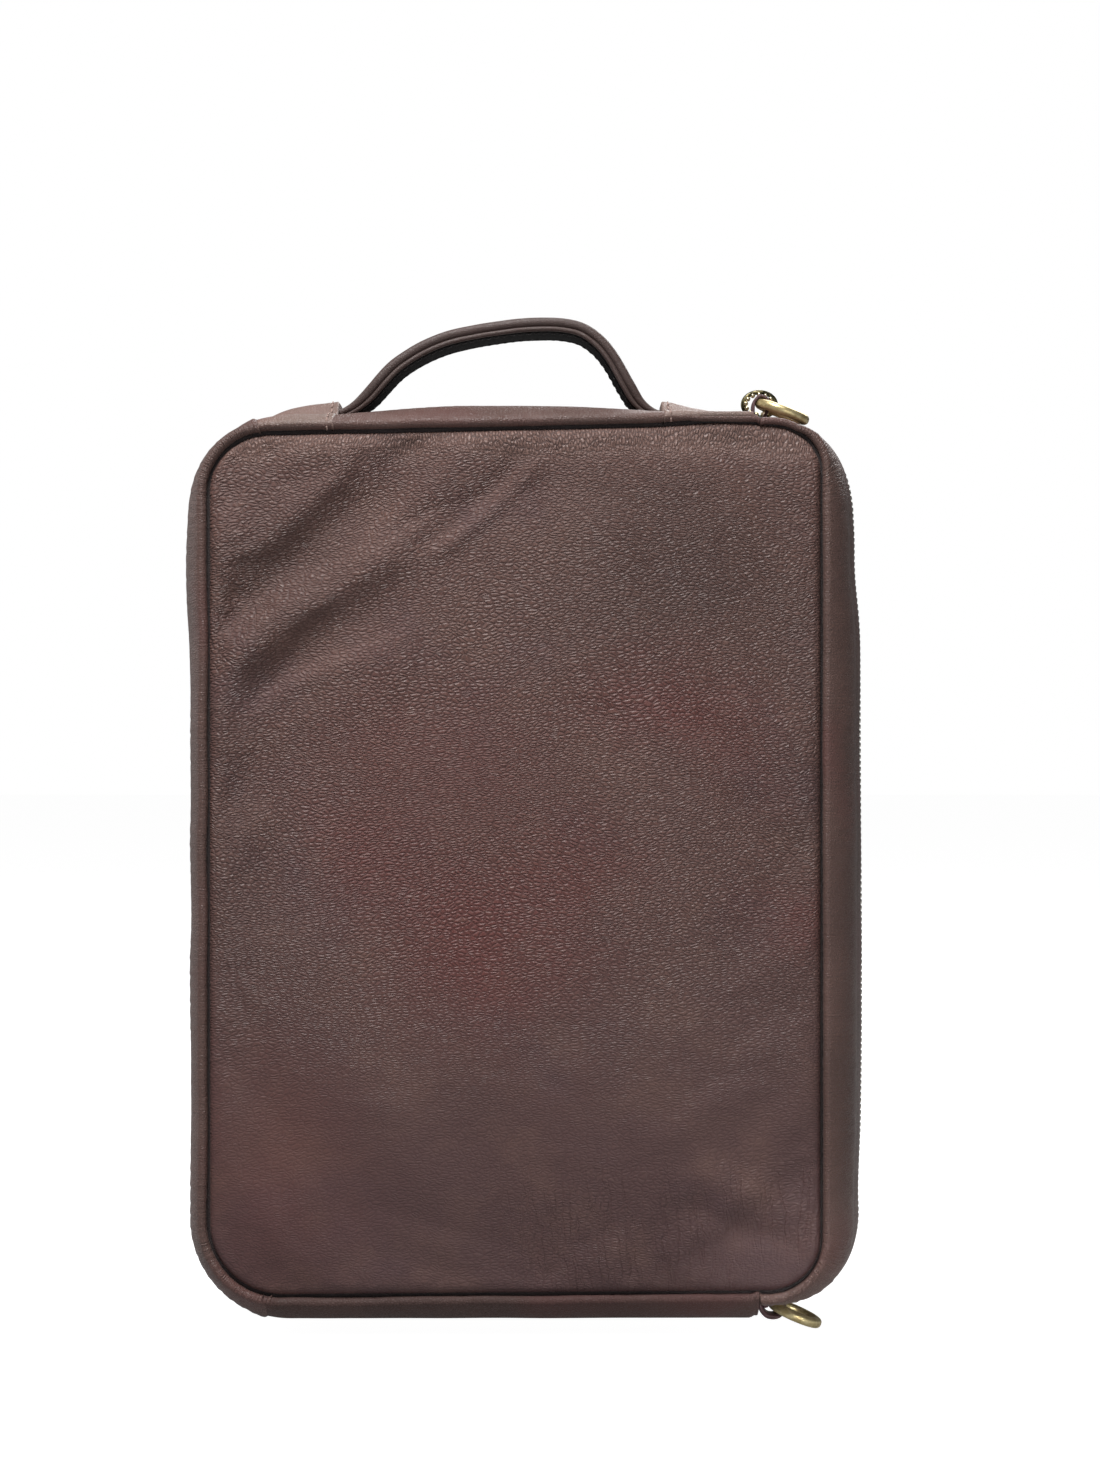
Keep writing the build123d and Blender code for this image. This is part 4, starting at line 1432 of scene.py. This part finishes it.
def wire(path, radius, sides=10, closed=False):
    """Vertices and faces of round wire along a path of points."""
    path = np.array(path, float)
    if closed:
        tangent = np.roll(path, -1, axis=0) - np.roll(path, 1, axis=0)
    else:
        tangent = np.gradient(path, axis=0)
    tangent /= np.linalg.norm(tangent, axis=1)[:, None]
    plane = np.cross(tangent[0], tangent[len(tangent) // 3])
    plane /= np.linalg.norm(plane)
    vertices = []
    for point, along in zip(path, tangent):
        side = np.cross(along, plane)
        for j in range(sides):
            angle = 2 * math.pi * j / sides
            vertices.append(point + radius * (math.cos(angle) * side + math.sin(angle) * plane))
    return vertices, tube_faces(len(path), sides, closed)


PULL_HALF_W = 6.5
PULL_HALF_H = 5.0
PULL_SHIFT = -1.7
PULL_WIRE_R = 0.95
BEADS = 13
BEAD_R = 0.98


def zip_pull(bail_x, base):
    """An oval hoop through the bail, with a string of small bright beads lying inside its front."""
    centre = np.array((bail_x + PULL_SHIFT, ZIP_Y, base + 2.9 + PULL_HALF_H))
    path = []
    for a in np.linspace(0, 2 * math.pi, 65)[:-1]:
        path.append(centre + np.array((PULL_HALF_W * math.cos(a), 0.0, PULL_HALF_H * math.sin(a))))
    hoop = joined("pull_hoop", [wire(path, PULL_WIRE_R, 12, True)])
    place(hoop, "pull", "antique_metal", MAT_ANTIQUE, "zip_pull")
    pieces = []
    for k in range(BEADS):
        a = 2 * math.pi * (k + 0.3) / BEADS
        at = centre + np.array(((PULL_HALF_W - 1.0) * math.cos(a), -0.55, (PULL_HALF_H - 1.0) * math.sin(a)))
        pieces.append(rounded_block(at, np.eye(3), (BEAD_R,) * 3, power=2.0, rings=8, sides=12))
    place(joined("pull_beads", pieces), "pull", "antique_metal", MAT_BEAD)


# ---------------------------------------------------------------- stitches


def capsule(centre, direction, length, radius):
    """Vertices and faces of one rounded stitch."""
    direction = np.array(direction, float)
    direction /= np.linalg.norm(direction)
    side = np.cross(direction, (0.3, 0.5, 0.8))
    side /= np.linalg.norm(side)
    other = np.cross(direction, side)
    rings, sides = 6, 8
    vertices = []
    for i in range(rings + 1):
        t = -1 + 2 * i / rings
        width = radius * math.sqrt(max(0.02, 1 - abs(t) ** 3))
        for j in range(sides):
            angle = 2 * math.pi * j / sides
            offset = side * math.cos(angle) + other * math.sin(angle)
            vertices.append(np.array(centre) + direction * t * length / 2 + offset * width)
    return vertices, tube_faces(rings + 1, sides)


def stitch_row(name, line, length, radius, sink):
    """Stitches along a line of (place, outward) pairs, pressed into the leather by sink."""
    places = np.array([p for p, _ in line])
    outward = np.array([n for _, n in line])
    distance = lengths_along(places)

    def between(values, at):
        return np.array([np.interp(at, distance, values[:, k]) for k in range(3)])

    pieces = []
    for at in np.arange(STITCH_PITCH / 2, distance[-1], STITCH_PITCH):
        along = between(places, at + 0.4) - between(places, at - 0.4)
        up = between(outward, at)
        up /= np.linalg.norm(up)
        pieces.append(capsule(between(places, at) + up * (radius - sink), along, length, radius))
    return joined(name, pieces)


# ---------------------------------------------------------------- build

for wall_name, wall_side, wall_looks in (
    ("front", -1, (front_folds, FRONT_DYE, FRONT_PAINTED_SHADE, FRONT_CREASES, 1.7)),
    ("back", 1, (back_folds, BACK_DYE, BACK_PAINTED_SHADE, BACK_CREASES, 6.3)),
):
    padded = wall(f"{wall_name}_wall", wall_side, *wall_looks)
    stood_for = [f"{wall_name}_{layer}" for layer in ("panel", "foam", "board")]
    place(padded, "bag", "panel_leather", MAT_WALL, *stood_for)
    bed = seam_bed(f"{wall_name}_seam", wall_side)
    place(bed, "bag", "strip_leather", MAT_SEAM_SHADE)

body_strips()
zip_strips()

for side_name, end, tunnel_rise in (("left", 1, 6.0), ("right", -1, 5.3)):
    low, high = cad_box(f"handle_anchor_{side_name}")
    anchor(f"anchor_{side_name}", (low[0], high[0]), end, tunnel_rise, f"handle_anchor_{side_name}")

handle_pieces()

TOP_PIVOT = (92.2, 356.1)      # the rings' joints
LOW_PIVOT = (97.3, 3.4)
strap_ring("ring_top", TOP_PIVOT, 20.0, 5.0, "top_strap_ring", "top_ring")
strap_ring("ring_bottom", LOW_PIVOT, 22.5, -3.0, "bottom_strap_ring", "bottom_ring")
strap_tab("tab_top", (
    (92.0, 341.0), (90.6, 346.5), (89.2, 351.5), (89.6, 356.6), (92.0, 358.9), (94.7, 357.4), (95.0, 354.3),
    (93.6, 350.6), (92.6, 347.0), (93.0, 341.0),
), "top_ring_tab")
strap_tab("tab_bottom", (
    (91.2, 14.0), (91.2, 7.0), (92.0, 2.6), (94.6, -0.5), (98.4, -0.7), (100.8, 1.6),
    (100.7, 4.9), (98.2, 6.9), (95.1, 6.0), (93.9, 3.2), (92.9, 7.0), (92.7, 14.0),
), "bottom_ring_tab", thick=0.95)

zip_tape("tape_front", -1, SLOT_FRONT_Y, "zip_tape_front")
zip_tape("tape_back", 1, SLOT_BACK_Y, "zip_tape_back")
zip_teeth("teeth_front", -1, "zip_teeth_front")
zip_teeth("teeth_back", 1, "zip_teeth_back")
zip_end_stops()
zip_pull(*slider_piece())

for node, material in (
    ("front_lining", MAT_CLOTH), ("back_lining", MAT_CLOTH),
    ("gusset_lining", MAT_CLOTH), ("base_board", MAT_BOARD),
):
    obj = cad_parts[node]
    obj.data.materials.clear()
    obj.data.materials.append(material)


# ---------------------------------------------------------------- floor, light and camera

FLOOR_REACH = 8.0
FLOOR_GAP = 0.0005
WHITE = (1.0, 1.0, 1.0)
CAMERA_DISTANCE = 0.933
CAMERA_X = 0.0097
CAMERA_HEIGHT = 0.227
SENSOR_WIDTH = 36.0
LENS = 57.7743              # millimetres


def paper_floor():
    """White paper that looks white to the camera but throws little light of its own."""
    z = CAD_BOX[0].z - FLOOR_GAP
    corners = [(x * FLOOR_REACH, y * FLOOR_REACH, z) for x, y in ((-1, -1), (1, -1), (1, 1), (-1, 1))]
    mesh = bpy.data.meshes.new("floor")
    mesh.from_pydata(corners, [], [(0, 1, 2, 3)])
    floor = bpy.data.objects.new("floor", mesh)
    bpy.context.scene.collection.objects.link(floor)
    paper = Nodes("paper_floor")
    fibre = paper.ramp(paper.noise(900.0, 2.0), 0.0, 1.0, 0.27, 0.33)
    rays = paper.add("ShaderNodeLightPath").outputs
    seen = paper.plus(paper.times(rays["Is Camera Ray"], 0.92), 0.06)
    glow = paper.plus(seen, paper.times(rays["Is Glossy Ray"], 0.15))
    paper.finish(paper.combine(fibre, fibre, fibre), 0.95, Emission_Color=WHITE, Emission_Strength=glow,
                 Specular_IOR_Level=0.1)
    mesh.materials.append(paper.material)


def white_world():
    """A white room: full white to the camera, dimmer as light, a little brighter in reflections."""
    world = bpy.data.worlds.new("studio")
    world.use_nodes = True
    tree = world.node_tree
    lit = next(n for n in tree.nodes if n.type == "BACKGROUND")
    output = next(n for n in tree.nodes if n.type == "OUTPUT_WORLD")
    glance = tree.nodes.new("ShaderNodeMapRange")
    glance.inputs["To Min"].default_value = 0.28
    glance.inputs["To Max"].default_value = 0.55
    seen = tree.nodes.new("ShaderNodeBackground")
    seen.inputs["Color"].default_value = (*WHITE, 1)
    rays = tree.nodes.new("ShaderNodeLightPath")
    choose = tree.nodes.new("ShaderNodeMixShader")
    for source, target in (
        (rays.outputs["Is Glossy Ray"], glance.inputs["Value"]),
        (glance.outputs["Result"], lit.inputs["Strength"]),
        (rays.outputs["Is Camera Ray"], choose.inputs[0]),
        (lit.outputs[0], choose.inputs[1]),
        (seen.outputs[0], choose.inputs[2]),
        (choose.outputs[0], output.inputs["Surface"]),
    ):
        tree.links.new(source, target)
    bpy.context.scene.world = world
    bpy.context.scene.view_settings.view_transform = "Standard"


def lamp(name, kind, place_at, target, power, **settings):
    data = bpy.data.lights.new(name, kind)
    data.energy = power
    for key, value in settings.items():
        setattr(data, key, value)
    obj = bpy.data.objects.new(name, data)
    obj.location = place_at
    obj.rotation_euler = (Vector(target) - Vector(place_at)).to_track_quat("-Z", "Y").to_euler()
    bpy.context.scene.collection.objects.link(obj)


def lamps():
    """Four large soft lamps, and a narrow one that lights the lower ring as a white card would."""
    centre = (0, 0, 0.2)
    lamp("key", "AREA", (-0.25, -0.70, 1.5), centre, 30.0, size=0.6)
    lamp("fill", "AREA", (0.5, -1.3, 0.12), centre, 4.2, size=0.8)
    lamp("back", "AREA", (0.5, 1.0, 1.3), centre, 16.0, size=1.0)
    lamp("side", "AREA", (-1.3, 0.5, 0.7), centre, 5.0, size=1.0)
    lamp("low_card", "SPOT", (0.26, -0.52, 0.07), (0.108, -0.012, 0.0), 26.0,
         spot_size=math.radians(5.0), spot_blend=0.8, shadow_soft_size=0.05)


def main_camera():
    data = bpy.data.cameras.new("camera")
    data.sensor_width = SENSOR_WIDTH
    data.lens = LENS
    camera = bpy.data.objects.new("camera", data)
    camera.location = (CAMERA_X, -CAMERA_DISTANCE, CAMERA_HEIGHT)
    camera.rotation_euler = (math.pi / 2, 0, 0)
    bpy.context.scene.collection.objects.link(camera)
    bpy.context.scene.camera = camera


paper_floor()
white_world()
lamps()
main_camera()
